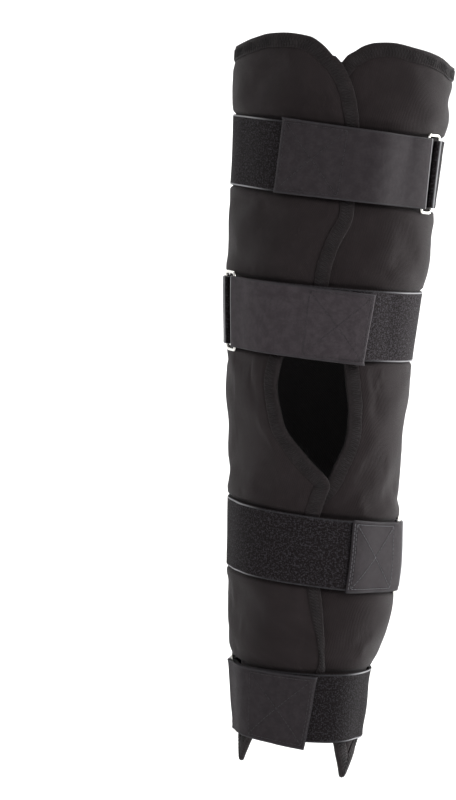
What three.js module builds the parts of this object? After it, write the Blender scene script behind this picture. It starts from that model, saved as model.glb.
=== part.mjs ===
// A knee immobilizer as it is worn on a left leg: a padded wrap closed down the front, an edge
// binding, and four broad straps that pass through wire rings and fold back on hook patches.
// Millimetres. +Z runs up the leg, the front of the knee faces -Y, +X is the wearer's outer side.
// The origin is the middle of the leg at the height of the kneecap.
import * as THREE from "three";

// Overall sizes
const riseAboveKnee = 298; // kneecap to the highest point of the top hem
const dropBelowKnee = 293; // kneecap to the lowest tip of the bottom hem
const thighWidth = 178; // outside of the wrap at the top hem, side to side
const thighDepth = 172; // outside of the wrap at the top hem, front to back

// The height of a place that is given as a share of the way up or down from the kneecap
function heightAt(share) {
  return share * (share < 0 ? dropBelowKnee : riseAboveKnee);
}

// Padded wrap
const wallThickness = 4;
const overlapWidth = 30; // how far the outer flap lies over the inner one
const kneeOpeningWidth = 60;
const kneeOpeningTop = 78; // above the kneecap, under a strap
const kneeOpeningBottom = 54; // below the kneecap
const topEarRise = 17; // rounded ears beside the closure stand this far above the hem
const hemInset = 29.5; // the hem at the sides stops this far above the lowest tip
const archRise = 37; // the bottom hem is cut up this far over the instep
const cinchDepth = 2.6; // how far each strap presses into the padding
const cinchFade = 10; // over this height the padding swells out again

// Edge binding
const bindingWidth = 10;
const bindingThickness = 0.8;
const bindingGap = 0.9;
const flapGap = 0.7; // between the outer flap's binding and the inner flap
const tipBindingWidth = 4.5; // the binding narrows at the two lower tips
const bindingTaper = 0.35; // and widens again by this share of the way from a tip

// Straps, rings and their tabs
const strapWidth = 56.5;
const strapThickness = 2;
const seatGap = 0.5; // between a strap and what it lies on
const layerGap = 0.3; // between the layers of a folded strap
const wireRadius = 1.4;
const ringSlack = 1.2; // a ring is this much longer inside than the strap is wide, at each end
const ringSpan = 19; // between the middles of the two long bars
const ringCornerRadius = 3.2;
const tabWidth = 54;
const tabThickness = 1.5;
const tabLength = 52;
const patchLength = 52;
const patchWidth = 52;
const patchThickness = 1.2;
const leanFade = 36; // the lean of a ring fades out in the strap over this length
const tailEase = 26; // a folded strap comes down onto its patch over this length
const sewnEndAngle = 186; // each strap is sewn on just past the middle of the back

// One row for each strap, from the top. at is the height of its middle, as a share of riseAboveKnee,
// or of dropBelowKnee where negative. tilt in degrees dips it to +X, and side is +1 where its ring is
// at +X. ring and tail are the angles of the ring's near bar and of the strap's free end, from the
// front of the leg towards the ring. lean in degrees turns the ring's lower end to the front, dip
// lowers the free end, and onHem lifts the strap over the hem.
const straps = [
  { name: "upper_thigh", at: 0.673, tilt: -3.0, side: 1, ring: 55.8, tail: -30, lean: -2.6, dip: 0, onHem: false },
  { name: "lower_thigh", at: 0.252, tilt: -1.2, side: -1, ring: 63, tail: -25, lean: 0, dip: 3, onHem: false },
  { name: "upper_calf", at: -0.367, tilt: -4.0, side: 1, ring: 74, tail: 21, lean: 0, dip: 0, onHem: false },
  { name: "lower_calf", at: -0.8, tilt: 0, side: -1, ring: 78, tail: -7, lean: 4, dip: 4, onHem: true },
].map((strap) => ({ ...strap, height: heightAt(strap.at) }));

// Sections of the worn wrap. at is a share of riseAboveKnee, or of dropBelowKnee where negative.
// width and right are shares of half the thighWidth, depth and back of half the thighDepth.
const sections = [
  { at: -1.0, width: 0.568, depth: 0.574, right: 0.036, back: 0.046 },
  { at: -0.935, width: 0.568, depth: 0.577, right: 0.04, back: 0.046 },
  { at: -0.885, width: 0.566, depth: 0.582, right: 0.044, back: 0.046 },
  { at: -0.819, width: 0.59, depth: 0.599, right: 0.04, back: 0.046 },
  { at: -0.724, width: 0.612, depth: 0.64, right: 0.026, back: 0.046 },
  { at: -0.655, width: 0.676, depth: 0.692, right: 0.027, back: 0.064 },
  { at: -0.598, width: 0.717, depth: 0.733, right: 0.045, back: 0.076 },
  { at: -0.512, width: 0.755, depth: 0.773, right: 0.056, back: 0.081 },
  { at: -0.409, width: 0.782, depth: 0.8, right: 0.052, back: 0.076 },
  { at: -0.273, width: 0.784, depth: 0.797, right: 0.029, back: 0.046 },
  { at: -0.136, width: 0.78, depth: 0.797, right: 0.013, back: 0 },
  { at: 0, width: 0.802, depth: 0.82, right: -0.011, back: -0.035 },
  { at: 0.167, width: 0.845, depth: 0.855, right: -0.018, back: -0.012 },
  { at: 0.333, width: 0.89, depth: 0.895, right: -0.02, back: 0.012 },
  { at: 0.5, width: 0.919, depth: 0.93, right: -0.009, back: 0.023 },
  { at: 0.667, width: 0.94, depth: 0.959, right: 0.003, back: 0.035 },
  { at: 0.833, width: 0.973, depth: 0.983, right: 0.011, back: 0.041 },
  { at: 1.0, width: 1, depth: 1, right: 0.022, back: 0.046 },
];

// The free edge of each flap, as its distance across the front, positive to +X. Above and below the
// knee opening, along is the share of the way from the opening to the flap's corner and across a
// share of overlapWidth. In the opening, along runs from its bottom to its top and across is a share
// of kneeOpeningWidth.
const outerEdge = {
  below: [
    { along: 1, across: 0.433 },
    { along: 0.897, across: 0.53 },
    { along: 0.607, across: 0.27 },
    { along: 0.307, across: 0.03 },
    { along: 0.16, across: 0.06 },
    { along: 0.055, across: 0.2 },
  ],
  opening: [
    { along: 0, across: 0.145 },
    { along: 0.133, across: -0.093 },
    { along: 0.337, across: -0.437 },
    { along: 0.42, across: -0.493 },
    { along: 0.508, across: -0.547 },
    { along: 0.575, across: -0.57 },
    { along: 0.742, across: -0.515 },
    { along: 0.886, across: -0.3 },
    { along: 1, across: -0.033 },
  ],
  above: [
    { along: 0.185, across: 0.02 },
    { along: 0.28, across: 0.16 },
    { along: 0.4, across: 0.44 },
    { along: 0.73, across: 0.385 },
    { along: 0.82, across: 0.277 },
    { along: 0.88, across: 0.147 },
    { along: 0.92, across: 0.02 },
    { along: 0.97, across: -0.2 },
    { along: 1, across: -0.41 },
  ],
};
const innerEdge = {
  below: [
    { along: 1, across: -0.333 },
    { along: 0.897, across: -0.433 },
    { along: 0.607, across: -0.5 },
    { along: 0.307, across: -0.567 },
    { along: 0.17, across: -0.4 },
    { along: 0.075, across: -0.1 },
  ],
  opening: [
    { along: 0, across: 0.145 },
    { along: 0.131, across: 0.28 },
    { along: 0.267, across: 0.415 },
    { along: 0.362, across: 0.447 },
    { along: 0.445, across: 0.447 },
    { along: 0.613, across: 0.385 },
    { along: 0.742, across: 0.335 },
    { along: 0.886, across: 0.18 },
    { along: 1, across: -0.033 },
  ],
  above: [
    { along: 0.07, across: -0.4 },
    { along: 0.185, across: -0.6 },
    { along: 0.4, across: -0.6 },
    { along: 0.73, across: -0.567 },
    { along: 0.82, across: -0.5 },
    { along: 0.92, across: -0.33 },
    { along: 1, across: -0.25 },
  ],
};

// The hems go round from the inner flap's corner to the outer flap's, by degrees from the front.
// ear and arch are shares of topEarRise, the drop of a tip and archRise.
const topHem = [
  { angle: -4.5, ear: -0.1 },
  { angle: 1.5, ear: 0.13 },
  { angle: 4, ear: 0.34 },
  { angle: 8, ear: 0.62 },
  { angle: 14.3, ear: 0.81 },
  { angle: 23, ear: 0.87 },
  { angle: 37, ear: 0.72 },
  { angle: 48, ear: 0.58 },
  { angle: 60, ear: 0.37 },
  { angle: 74, ear: 0.06 },
  { angle: 90, ear: 0 },
  { angle: 130, ear: 0 },
  { angle: 230, ear: 0 },
  { angle: 270, ear: 0.24 },
  { angle: 288, ear: 0.44 },
  { angle: 303, ear: 0.71 },
  { angle: 316, ear: 0.94 },
  { angle: 328, ear: 1 },
  { angle: 340, ear: 0.9 },
  { angle: 347, ear: 0.55 },
  { angle: 352, ear: 0.1 },
];
const rightTipAngle = 54;
const leftTipAngle = 293;
const bottomHem = [
  { angle: -11, arch: 1, ear: 0 },
  { angle: 0, arch: 0.85, ear: 0 },
  { angle: 12, arch: 0.62, ear: 0 },
  { angle: 26, arch: 0.33, ear: 0 },
  { angle: 38, arch: 0.02, ear: 0 },
  { angle: 46, arch: 0, ear: 0.48 },
  { angle: rightTipAngle, arch: 0, ear: 1 },
  { angle: 62, arch: 0, ear: 0.74 },
  { angle: 71, arch: 0, ear: 0.4 },
  { angle: 81, arch: 0, ear: 0.13 },
  { angle: 94, arch: 0, ear: 0 },
  { angle: 262, arch: 0, ear: 0 },
  { angle: 272, arch: 0, ear: 0.1 },
  { angle: 283, arch: 0, ear: 0.38 },
  { angle: leftTipAngle, arch: 0, ear: 0.77 },
  { angle: 302, arch: 0, ear: 0.4 },
  { angle: 313, arch: 0.02, ear: 0 },
  { angle: 329, arch: 0.25, ear: 0 },
  { angle: 345, arch: 0.48, ear: 0 },
  { angle: 360, arch: 0.72, ear: 0 },
  { angle: 374, arch: 1, ear: 0 },
];

// How finely the wrap is faceted: steps between its fixed columns, and rows in each stretch.
const sideAngle = 77; // where the fans of columns in front begin
const frontSteps = 22; // stations of the straps across the front, between the two sides
const columnSteps = { rightFront: 8, right: 3, back: 16, left: 2, leftFront: 11 };
const rowShares = {
  hem: [0, 0.5],
  straps: [
    [0, 0.5],
    [0, 0.25, 0.5, 0.75],
    [0, 0.5],
    [0, 0.34, 0.67],
  ],
  gaps: [
    [0, 0.15, 0.5, 0.85],
    [0, 0.08, 0.17, 0.26, 0.35, 0.45, 0.55, 0.65, 0.75, 0.92],
    [0, 0.14, 0.45, 0.7, 0.86],
  ],
  top: [0, 0.17, 0.42, 0.68, 0.86, 1],
};

const radians = THREE.MathUtils.degToRad;
const { smoothstep, lerp, clamp } = THREE.MathUtils;

// Heights that follow from the sizes
const lowestTip = -dropBelowKnee;
const bottomHemLevel = lowestTip + hemInset;
const topHemLevel = riseAboveKnee - topEarRise;
const tipDrop = bottomHemLevel - lowestTip;
const flapTopCorner = topHemLevel + 0.2 * topEarRise;
const flapBottomCorner = bottomHemLevel + archRise;
const bindingProud = bindingGap + bindingThickness;
const flapLift = wallThickness + bindingProud + flapGap;
const liftStart = -80; // the outer flap climbs over the inner one between these two distances
const liftEnd = -22;
const strapLead = 13; // the straps climb this much earlier
const strapFallStart = 20; // and come down on the other side between these
const strapFallEnd = 60;

// A smooth curve through rows of a table that never overshoots them (monotone cubic pieces).
function curveThrough(rows, from, to) {
  const x = rows.map((row) => row[from]);
  const y = rows.map((row) => row[to]);
  const slope = x.slice(1).map((next, i) => (y[i + 1] - y[i]) / (next - x[i]));
  const tangent = x.map((_, i) => {
    if (i === 0) return slope[0];
    if (i === x.length - 1) return slope[i - 1];
    if (slope[i - 1] * slope[i] <= 0) return 0;
    return (2 * slope[i - 1] * slope[i]) / (slope[i - 1] + slope[i]);
  });
  return (at) => {
    const p = clamp(at, x[0], x[x.length - 1]);
    let i = 0;
    while (i < x.length - 2 && p > x[i + 1]) i += 1;
    const step = x[i + 1] - x[i];
    const t = (p - x[i]) / step;
    const bow = tangent[i] * step * t * (1 - t) ** 2 - tangent[i + 1] * step * t ** 2 * (1 - t);
    return lerp(y[i], y[i + 1], t * t * (3 - 2 * t)) + bow;
  };
}

const sectionRows = sections.map((row) => ({
  z: heightAt(row.at),
  halfWidth: (row.width * thighWidth) / 2,
  halfDepth: (row.depth * thighDepth) / 2,
  right: (row.right * thighWidth) / 2,
  back: (row.back * thighDepth) / 2,
}));
const sectionCurves = Object.fromEntries(
  ["halfWidth", "halfDepth", "right", "back"].map((key) => [key, curveThrough(sectionRows, "z", key)]),
);

function sectionAt(z) {
  return {
    halfWidth: sectionCurves.halfWidth(z),
    halfDepth: sectionCurves.halfDepth(z),
    right: sectionCurves.right(z),
    back: sectionCurves.back(z),
  };
}

function meanRadius(z) {
  const { halfWidth, halfDepth } = sectionAt(z);
  return (halfWidth + halfDepth) / 2;
}

// A strap's middle line lies in a tilted plane, so its height changes round the leg.
function strapMiddle(strap, angle) {
  return strap.height + Math.tan(radians(strap.tilt)) * sectionAt(strap.height).halfWidth * Math.sin(angle);
}

// How far a strap presses the padding in at one height. The hem below the lowest one stays in.
function cinchAt(angle, z) {
  return straps.reduce((deepest, strap) => {
    const above = z - strapMiddle(strap, angle);
    const outside = (strap.onHem ? above : Math.abs(above)) - strapWidth / 2;
    return Math.max(deepest, cinchDepth * (1 - smoothstep(outside, 0, cinchFade)));
  }, 0);
}

// A point out from the outer face of the padding by the given distance, at one angle from the front.
function profilePoint(angle, z, out) {
  const { halfWidth, halfDepth, right, back } = sectionAt(z);
  const normal = new THREE.Vector2(Math.sin(angle) / halfWidth, -Math.cos(angle) / halfDepth).normalize();
  const reach = out - cinchAt(angle, z);
  return new THREE.Vector3(
    right + halfWidth * Math.sin(angle) + normal.x * reach,
    back - halfDepth * Math.cos(angle) + normal.y * reach,
    z,
  );
}

// Behind, every piece shares the wrap's columns, and the leg is drawn straight from one to the next.
function betweenColumns(angle, pointAt) {
  const fullTurn = 2 * Math.PI;
  const step = (fullTurn - 2 * radians(sideAngle)) / columnSteps.back;
  const share = ((((angle % fullTurn) + fullTurn) % fullTurn) - radians(sideAngle)) / step;
  if (share <= 0 || share >= columnSteps.back) return pointAt(angle);
  const before = share - Math.floor(share);
  return pointAt(angle - before * step).lerp(pointAt(angle + (1 - before) * step), before);
}

// A point out from the padding, which is drawn straight between the two edges of each strap.
function skinAtColumn(angle, z, out) {
  for (const strap of straps) {
    const share = (z - strapMiddle(strap, angle)) / strapWidth + 0.5;
    if (share > 0 && share < 1) {
      const low = profilePoint(angle, strapMiddle(strap, angle) - strapWidth / 2, out);
      const high = profilePoint(angle, strapMiddle(strap, angle) + strapWidth / 2, out);
      return low.lerp(high, share);
    }
  }
  return profilePoint(angle, z, out);
}

function skinPoint(angle, z, out) {
  return betweenColumns(angle, (column) => skinAtColumn(column, z, out));
}

// How far the outer flap stands off the leg where it climbs over the inner one. The angle keeps
// counting past a full turn, so that the inner flap, near zero, isn't lifted.
function liftAt(angle, z) {
  const across = (angle - 2 * Math.PI) * meanRadius(z);
  return flapLift * smoothstep(across, liftStart, liftEnd);
}

// A point on or off the wrap. Up the leg it is drawn straight from row to row, as the facets are.
function wrapPoint(angle, z, out) {
  return betweenColumns(angle, (column) => {
    const rows = rowHeights(column);
    let low = 0;
    while (low < rows.length - 2 && z > rows[low + 1]) low += 1;
    const [below, above] = [rows[low], rows[low + 1]].map((height) =>
      skinAtColumn(column, height, liftAt(column, height) + out),
    );
    return below.lerp(above, (z - rows[low]) / (rows[low + 1] - rows[low]));
  });
}

// The free edge of a flap as a curve of height, joined from its three stretches.
function flapEdge(edge) {
  const below = edge.below.map(({ along, across }) => ({
    z: lerp(-kneeOpeningBottom, flapBottomCorner, along),
    across: across * overlapWidth,
  }));
  const opening = edge.opening.map(({ along, across }) => ({
    z: lerp(-kneeOpeningBottom, kneeOpeningTop, along),
    across: across * kneeOpeningWidth,
  }));
  const above = edge.above.map(({ along, across }) => ({
    z: lerp(kneeOpeningTop, flapTopCorner, along),
    across: across * overlapWidth,
  }));
  return curveThrough([...below, ...opening, ...above], "z", "across");
}

const outerEdgeAcross = flapEdge(outerEdge);
const innerEdgeAcross = flapEdge(innerEdge);

const topHemCurve = curveThrough(
  topHem.map(({ angle, ear }) => ({ angle: radians(angle), z: topHemLevel + ear * topEarRise })),
  "angle",
  "z",
);
// The bottom hem is three curves, so that its two tips stay pointed.
const bottomHemRows = bottomHem.map(({ angle, arch, ear }) => ({
  angle: radians(angle),
  z: bottomHemLevel + arch * archRise - ear * tipDrop,
}));
const hemStretch = (from, to) =>
  curveThrough(
    bottomHemRows.filter((row) => row.angle >= radians(from) - 1e-9 && row.angle <= radians(to) + 1e-9),
    "angle",
    "z",
  );
const rightHemCurve = hemStretch(bottomHem[0].angle, rightTipAngle);
const backHemCurve = hemStretch(rightTipAngle, leftTipAngle);
const leftHemCurve = hemStretch(leftTipAngle, bottomHem[bottomHem.length - 1].angle);

function bottomHemAt(angle) {
  if (angle < radians(rightTipAngle)) return rightHemCurve(angle);
  if (angle > radians(leftTipAngle)) return leftHemCurve(angle);
  return backHemCurve(angle);
}

// The wrap's columns: fixed angles round the back, and a fan from each side to its flap's edge.
function evenSteps(from, to, count) {
  return Array.from({ length: count }, (_, i) => lerp(from, to, i / count));
}
const backAngles = evenSteps(radians(sideAngle), radians(360 - sideAngle), columnSteps.back);

function columnAngles(innerAngle, outerAngle) {
  return [
    ...evenSteps(innerAngle, radians(rightTipAngle), columnSteps.rightFront),
    ...evenSteps(radians(rightTipAngle), radians(sideAngle), columnSteps.right),
    ...backAngles,
    ...evenSteps(radians(360 - sideAngle), radians(leftTipAngle), columnSteps.left),
    ...evenSteps(radians(leftTipAngle), outerAngle, columnSteps.leftFront),
    outerAngle,
  ];
}

// The height of each row at one angle. The rows follow the hems and both edges of every strap.
const hemRowCap = 0.8; // where the hem is cut up above a strap's edge, the rows close up
function rowHeights(angle) {
  const hem = bottomHemAt(angle);
  const topHemHeight = topHemCurve(angle);
  const edges = straps.map((strap) => ({
    low: strapMiddle(strap, angle) - strapWidth / 2,
    high: strapMiddle(strap, angle) + strapWidth / 2,
  }));
  const lowest = edges[edges.length - 1];
  const strapShare = Math.min(hemRowCap, (lowest.high - lowest.low) / (lowest.high - hem));
  lowest.low = lerp(lowest.high, hem, strapShare);
  const spread = (low, high, shares) => shares.map((share) => lerp(low, high, share));
  const heights = spread(hem, lowest.low, rowShares.hem);
  for (let i = edges.length - 1; i >= 0; i -= 1) {
    heights.push(...spread(edges[i].low, edges[i].high, rowShares.straps[i]));
    if (i > 0) heights.push(...spread(edges[i].high, edges[i - 1].low, rowShares.gaps[i - 1]));
  }
  heights.push(...spread(edges[0].high, topHemHeight, rowShares.top));
  return heights;
}

// The grid of the wrap, as angle and height. A row's two ends lie on the flaps' free edges.
function wrapGrid() {
  const rowCount = rowHeights(0).length;
  const endAngle = (edgeAcross, row, turn) => {
    let angle = turn;
    for (let pass = 0; pass < 6; pass += 1) {
      const z = rowHeights(angle)[row];
      angle = turn + edgeAcross(z) / meanRadius(z);
    }
    return angle;
  };
  return Array.from({ length: rowCount }, (_, row) => {
    const inner = endAngle(innerEdgeAcross, row, 0);
    const outer = endAngle(outerEdgeAcross, row, 2 * Math.PI);
    return columnAngles(inner, outer).map((angle) => ({ angle, z: rowHeights(angle)[row] }));
  });
}

// A closed solid from two faces of the same grid, with walls along its four sides.
function sheetSolid(outerRows, innerRows) {
  const rows = outerRows.length;
  const columns = outerRows[0].length;
  const positions = [...outerRows.flat(), ...innerRows.flat()].flatMap((p) => p.toArray());
  const outer = (i, j) => j * columns + i;
  const inner = (i, j) => rows * columns + outer(i, j);
  const triangles = [];
  const quad = (a, b, c, d) => triangles.push(a, b, c, a, c, d);
  for (let j = 0; j < rows - 1; j += 1) {
    for (let i = 0; i < columns - 1; i += 1) {
      const risesOutwards = i < columns / 2 === j < rows / 2;
      const corners = [
        [i, j],
        [i + 1, j],
        [i + 1, j + 1],
        [i, j + 1],
      ];
      if (!risesOutwards) corners.push(corners.shift());
      const [a, b, c, d] = corners;
      quad(outer(...a), outer(...b), outer(...c), outer(...d));
      quad(inner(...a), inner(...d), inner(...c), inner(...b));
    }
  }
  const border = [
    ...Array.from({ length: columns - 1 }, (_, i) => [i, 0]),
    ...Array.from({ length: rows - 1 }, (_, j) => [columns - 1, j]),
    ...Array.from({ length: columns - 1 }, (_, i) => [columns - 1 - i, rows - 1]),
    ...Array.from({ length: rows - 1 }, (_, j) => [0, rows - 1 - j]),
  ];
  border.forEach((from, k) => {
    const to = border[(k + 1) % border.length];
    quad(outer(...to), outer(...from), inner(...from), inner(...to));
  });
  return facingOut(positions, triangles);
}

// A closed loop of equal sections, each a ring of points.
function loopSolid(stations) {
  const count = stations[0].length;
  const positions = stations.flat().flatMap((p) => p.toArray());
  const triangles = [];
  stations.forEach((_, k) => {
    const next = (k + 1) % stations.length;
    for (let i = 0; i < count; i += 1) {
      const j = (i + 1) % count;
      const [a, b, c, d] = [k * count + i, next * count + i, next * count + j, k * count + j];
      triangles.push(a, b, c, a, c, d);
    }
  });
  return facingOut(positions, triangles);
}

// Builds the geometry, turned so that its faces point out of the solid.
function facingOut(positions, triangles) {
  const corner = (k) => new THREE.Vector3().fromArray(positions, 3 * k);
  let volume = 0;
  for (let k = 0; k < triangles.length; k += 3) {
    const [a, b, c] = [0, 1, 2].map((n) => corner(triangles[k + n]));
    volume += a.dot(b.cross(c));
  }
  if (volume < 0) triangles.reverse();
  const geometry = new THREE.BufferGeometry();
  geometry.setAttribute("position", new THREE.Float32BufferAttribute(positions, 3));
  geometry.setIndex(triangles);
  geometry.computeVertexNormals();
  return geometry;
}

function wrapGeometry(grid) {
  const face = (out) => grid.map((row) => row.map(({ angle, z }) => wrapPoint(angle, z, out)));
  return sheetSolid(face(0), face(-wallThickness));
}

// The binding follows the wrap's whole outline as a channel that holds both faces of the padding.
function bindingGeometry(grid) {
  const last = grid.length - 1;
  const columns = grid[0].length - 1;
  const outline = [
    ...grid[0].slice(0, columns),
    ...grid.slice(0, last).map((row) => row[columns]),
    ...grid[last].slice(1).reverse(),
    ...grid
      .slice(1)
      .map((row) => row[0])
      .reverse(),
  ];
  const flat = outline.map(({ angle, z }) => new THREE.Vector2(angle * meanRadius(z), z));
  const tips = [rightTipAngle, leftTipAngle].map((tip) =>
    outline.findIndex(({ angle, z }) => Math.abs(angle - radians(tip)) < 1e-6 && z < bottomHemLevel),
  );
  const step = (k) => {
    const [a, b] = [outline[k], outline[(k + 1) % outline.length]];
    return wrapPoint(a.angle, a.z, 0).distanceTo(wrapPoint(b.angle, b.z, 0));
  };
  const distance = [0];
  outline.forEach((_, k) => distance.push(distance[k] + step(k)));
  return loopSolid(
    outline.map(({ angle, z }, k) => {
      const before = outline[(k + outline.length - 1) % outline.length];
      const after = outline[(k + 1) % outline.length];
      const radius = meanRadius(z);
      const toHere = new THREE.Vector2((angle - before.angle) * radius, z - before.z).normalize();
      const fromHere = new THREE.Vector2((after.angle - angle) * radius, after.z - z).normalize();
      const along = toHere.add(fromHere).normalize();
      const inward = new THREE.Vector2(-along.y, along.x);
      const nearestTip = Math.min(...tips.map((tip) => Math.abs(distance[k] - distance[tip])));
      const width = Math.min(bindingWidth, tipBindingWidth + bindingTaper * nearestTip);
      const place = (inset, out) =>
        wrapPoint(angle + (inward.x * inset) / radius, z + inward.y * inset, out);
      const lip = -bindingProud;
      return [
        place(lip, bindingProud),
        place(width, bindingProud),
        place(width, bindingGap),
        place(-bindingGap, bindingGap),
        place(-bindingGap, -wallThickness - bindingGap),
        place(width, -wallThickness - bindingGap),
        place(width, -wallThickness - bindingProud),
        place(lip, -wallThickness - bindingProud),
      ];
    }),
  );
}

// How far a strap's underside stands off the padding. It rises over the closure in front.
function seatHeight(strap, angle) {
  const across = angle * meanRadius(strap.height);
  const rise = smoothstep(across, liftStart - strapLead, liftEnd - strapLead);
  const hump = rise * (1 - smoothstep(across, strapFallStart, strapFallEnd));
  const onHem = strap.onHem ? bindingProud : 0;
  return seatGap + onHem + hump * (flapLift + bindingProud - onHem);
}

// Angles shared by every layer of the straps, so that the layers stay parallel. Behind, they are the
// wrap's own columns.
function latticeAngles() {
  const side = radians(sideAngle);
  const turn = [...evenSteps(-side, side, frontSteps), ...backAngles];
  return [-1, 0, 1].flatMap((count) => turn.map((angle) => angle + count * 2 * Math.PI));
}
const lattice = latticeAngles();

function stations(from, to) {
  const low = Math.min(from, to);
  const high = Math.max(from, to);
  const margin = radians(1.5);
  const between = lattice.filter((a) => a > low + margin && a < high - margin);
  const all = [low, ...between, high];
  return from < to ? all : all.reverse();
}

// Where the bars of a strap's ring run. The near bar lies in the strap's fold, the far one in the tab's.
function ringBars(strap) {
  const radius = meanRadius(strap.height);
  const near = strap.side * radians(strap.ring);
  const far = near + (strap.side * ringSpan) / radius;
  const seat = seatHeight(strap, near);
  return {
    near: { angle: near, out: seat + strapThickness + layerGap + wireRadius },
    far: { angle: far, out: seat + tabThickness + layerGap + wireRadius },
  };
}

// How far round a place above a strap's middle is carried by the lean of its ring. It fades out away
// from the ring's bars.
function leanAt(strap, angle, above) {
  const radius = meanRadius(strap.height);
  const { near, far } = ringBars(strap);
  const away = Math.max(0, strap.side * (near.angle - angle), strap.side * (angle - far.angle)) * radius;
  const carried = 1 - smoothstep(away, leanFade / 4, leanFade);
  return (strap.side * carried * above * Math.tan(radians(strap.lean))) / radius;
}

// A band that comes along the leg under a bar, folds round it and goes back on top.
// Each point of the path has an angle, a height off the padding, the turn of its face and how far it dips.
function foldedPath(strap, { from, bar, back, thickness, restingGap, ease, dip }) {
  const radius = meanRadius(strap.height);
  const towards = Math.sign(bar.angle - from);
  const foldRadius = wireRadius + layerGap + thickness / 2;
  const under = stations(from, bar.angle).map((angle) => ({
    angle,
    out: lerp(
      bar.out - foldRadius,
      seatHeight(strap, angle) + thickness / 2,
      smoothstep(Math.abs(bar.angle - angle) * radius, 0, ease / 2),
    ),
    turn: 0,
  }));
  const foldSteps = 6;
  const fold = Array.from({ length: foldSteps - 1 }, (_, k) => {
    const turn = (Math.PI * (k + 1)) / foldSteps;
    return {
      angle: bar.angle + (towards * foldRadius * Math.sin(turn)) / radius,
      out: bar.out - foldRadius * Math.cos(turn),
      turn,
    };
  });
  const rest = (angle) => seatHeight(strap, angle) + 1.5 * thickness + restingGap;
  const over = stations(bar.angle, back).map((angle) => ({
    angle,
    out: lerp(
      bar.out + foldRadius,
      rest(angle),
      smoothstep(Math.abs(bar.angle - angle) * radius, 0, ease),
    ),
    turn: Math.PI,
    dip: dip * ((bar.angle - angle) / (bar.angle - back)) ** 2,
  }));
  return { points: [...under, ...fold, ...over], towards, radius };
}

// A band of even thickness along a path. Its faces are offset to both sides of the path.
function bandGeometry(strap, { points, towards, radius }, width, thickness) {
  const face = (side) =>
    [-0.5, 0.5].map((share) =>
      points.map(({ angle, out, turn, dip = 0 }) => {
        const shift = (side * thickness) / 2;
        const at = angle - (towards * shift * Math.sin(turn)) / radius;
        const z = strapMiddle(strap, at) + share * width - dip;
        return skinPoint(at + leanAt(strap, at, share * width), z, out + shift * Math.cos(turn));
      }),
    );
  return sheetSolid(face(1), face(-1));
}

function strapGeometry(strap) {
  const path = foldedPath(strap, {
    from: -strap.side * radians(sewnEndAngle),
    bar: ringBars(strap).near,
    back: strap.side * radians(strap.tail),
    thickness: strapThickness,
    restingGap: patchThickness + 2 * layerGap,
    ease: tailEase,
    dip: strap.dip,
  });
  return bandGeometry(strap, path, strapWidth, strapThickness);
}

function tabGeometry(strap) {
  const bar = ringBars(strap).far;
  const sewnEnd = bar.angle + (strap.side * tabLength) / meanRadius(strap.height);
  const path = foldedPath(strap, {
    from: sewnEnd,
    bar,
    back: sewnEnd,
    thickness: tabThickness,
    restingGap: layerGap,
    ease: tabLength / 3,
    dip: 0,
  });
  return bandGeometry(strap, path, tabWidth, tabThickness);
}

function patchGeometry(strap) {
  const radius = meanRadius(strap.height) + seatHeight(strap, 0) + strapThickness;
  const start = strap.side * radians(strap.tail) + (strap.side * layerGap) / radius;
  const end = start + (strap.side * patchLength) / radius;
  const points = stations(start, end).map((angle) => ({
    angle,
    out: seatHeight(strap, angle) + strapThickness + layerGap + patchThickness / 2,
    turn: 0,
  }));
  return bandGeometry(strap, { points, towards: strap.side, radius }, patchWidth, patchThickness);
}

// A rectangular ring of round wire. Its long bars run straight between points on the two bars' lines.
function ringGeometry(strap) {
  const { near, far } = ringBars(strap);
  const half = strapWidth / 2 + ringSlack + wireRadius;
  const corner = (bar, end) => {
    const above = end * strapWidth * 0.45;
    const angle = bar.angle + leanAt(strap, bar.angle, above);
    return skinPoint(angle, strapMiddle(strap, bar.angle) + above, bar.out);
  };
  const bars = [near, far].map((bar) => {
    const low = corner(bar, -1);
    const high = corner(bar, 1);
    const middle = low.clone().add(high).multiplyScalar(0.5);
    const along = high.sub(low).normalize();
    return [-1, 1].map((end) => middle.clone().addScaledVector(along, end * half));
  });
  const corners = [bars[0][0], bars[0][1], bars[1][1], bars[1][0]];
  const cornerSteps = 3;
  const line = corners.flatMap((point, k) => {
    const before = corners[(k + 3) % 4];
    const after = corners[(k + 1) % 4];
    const start = point.clone().addScaledVector(before.clone().sub(point).normalize(), ringCornerRadius);
    const end = point.clone().addScaledVector(after.clone().sub(point).normalize(), ringCornerRadius);
    const bend = new THREE.QuadraticBezierCurve3(start, point, end);
    return bend.getPoints(cornerSteps);
  });
  const facing = corners[1].clone().sub(corners[0]).cross(corners[3].clone().sub(corners[0])).normalize();
  const wireSides = 6;
  return loopSolid(
    line.map((point, k) => {
      const before = line[(k + line.length - 1) % line.length];
      const after = line[(k + 1) % line.length];
      const along = after.clone().sub(before).normalize();
      const across = facing.clone().cross(along).normalize();
      return Array.from({ length: wireSides }, (_, n) => {
        const turn = (2 * Math.PI * n) / wireSides;
        return point
          .clone()
          .addScaledVector(across, wireRadius * Math.cos(turn))
          .addScaledVector(facing, wireRadius * Math.sin(turn));
      });
    }),
  );
}

const materials = {
  padding: new THREE.MeshStandardMaterial({ color: 0x2b2829, roughness: 0.85, metalness: 0 }),
  binding: new THREE.MeshStandardMaterial({ color: 0x201f20, roughness: 0.8, metalness: 0 }),
  strap: new THREE.MeshStandardMaterial({ color: 0x3c3b3f, roughness: 0.75, metalness: 0 }),
  hook: new THREE.MeshStandardMaterial({ color: 0x1b1b1d, roughness: 0.9, metalness: 0 }),
  metal: new THREE.MeshStandardMaterial({ color: 0xc9c9c6, roughness: 0.25, metalness: 1 }),
};

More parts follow.
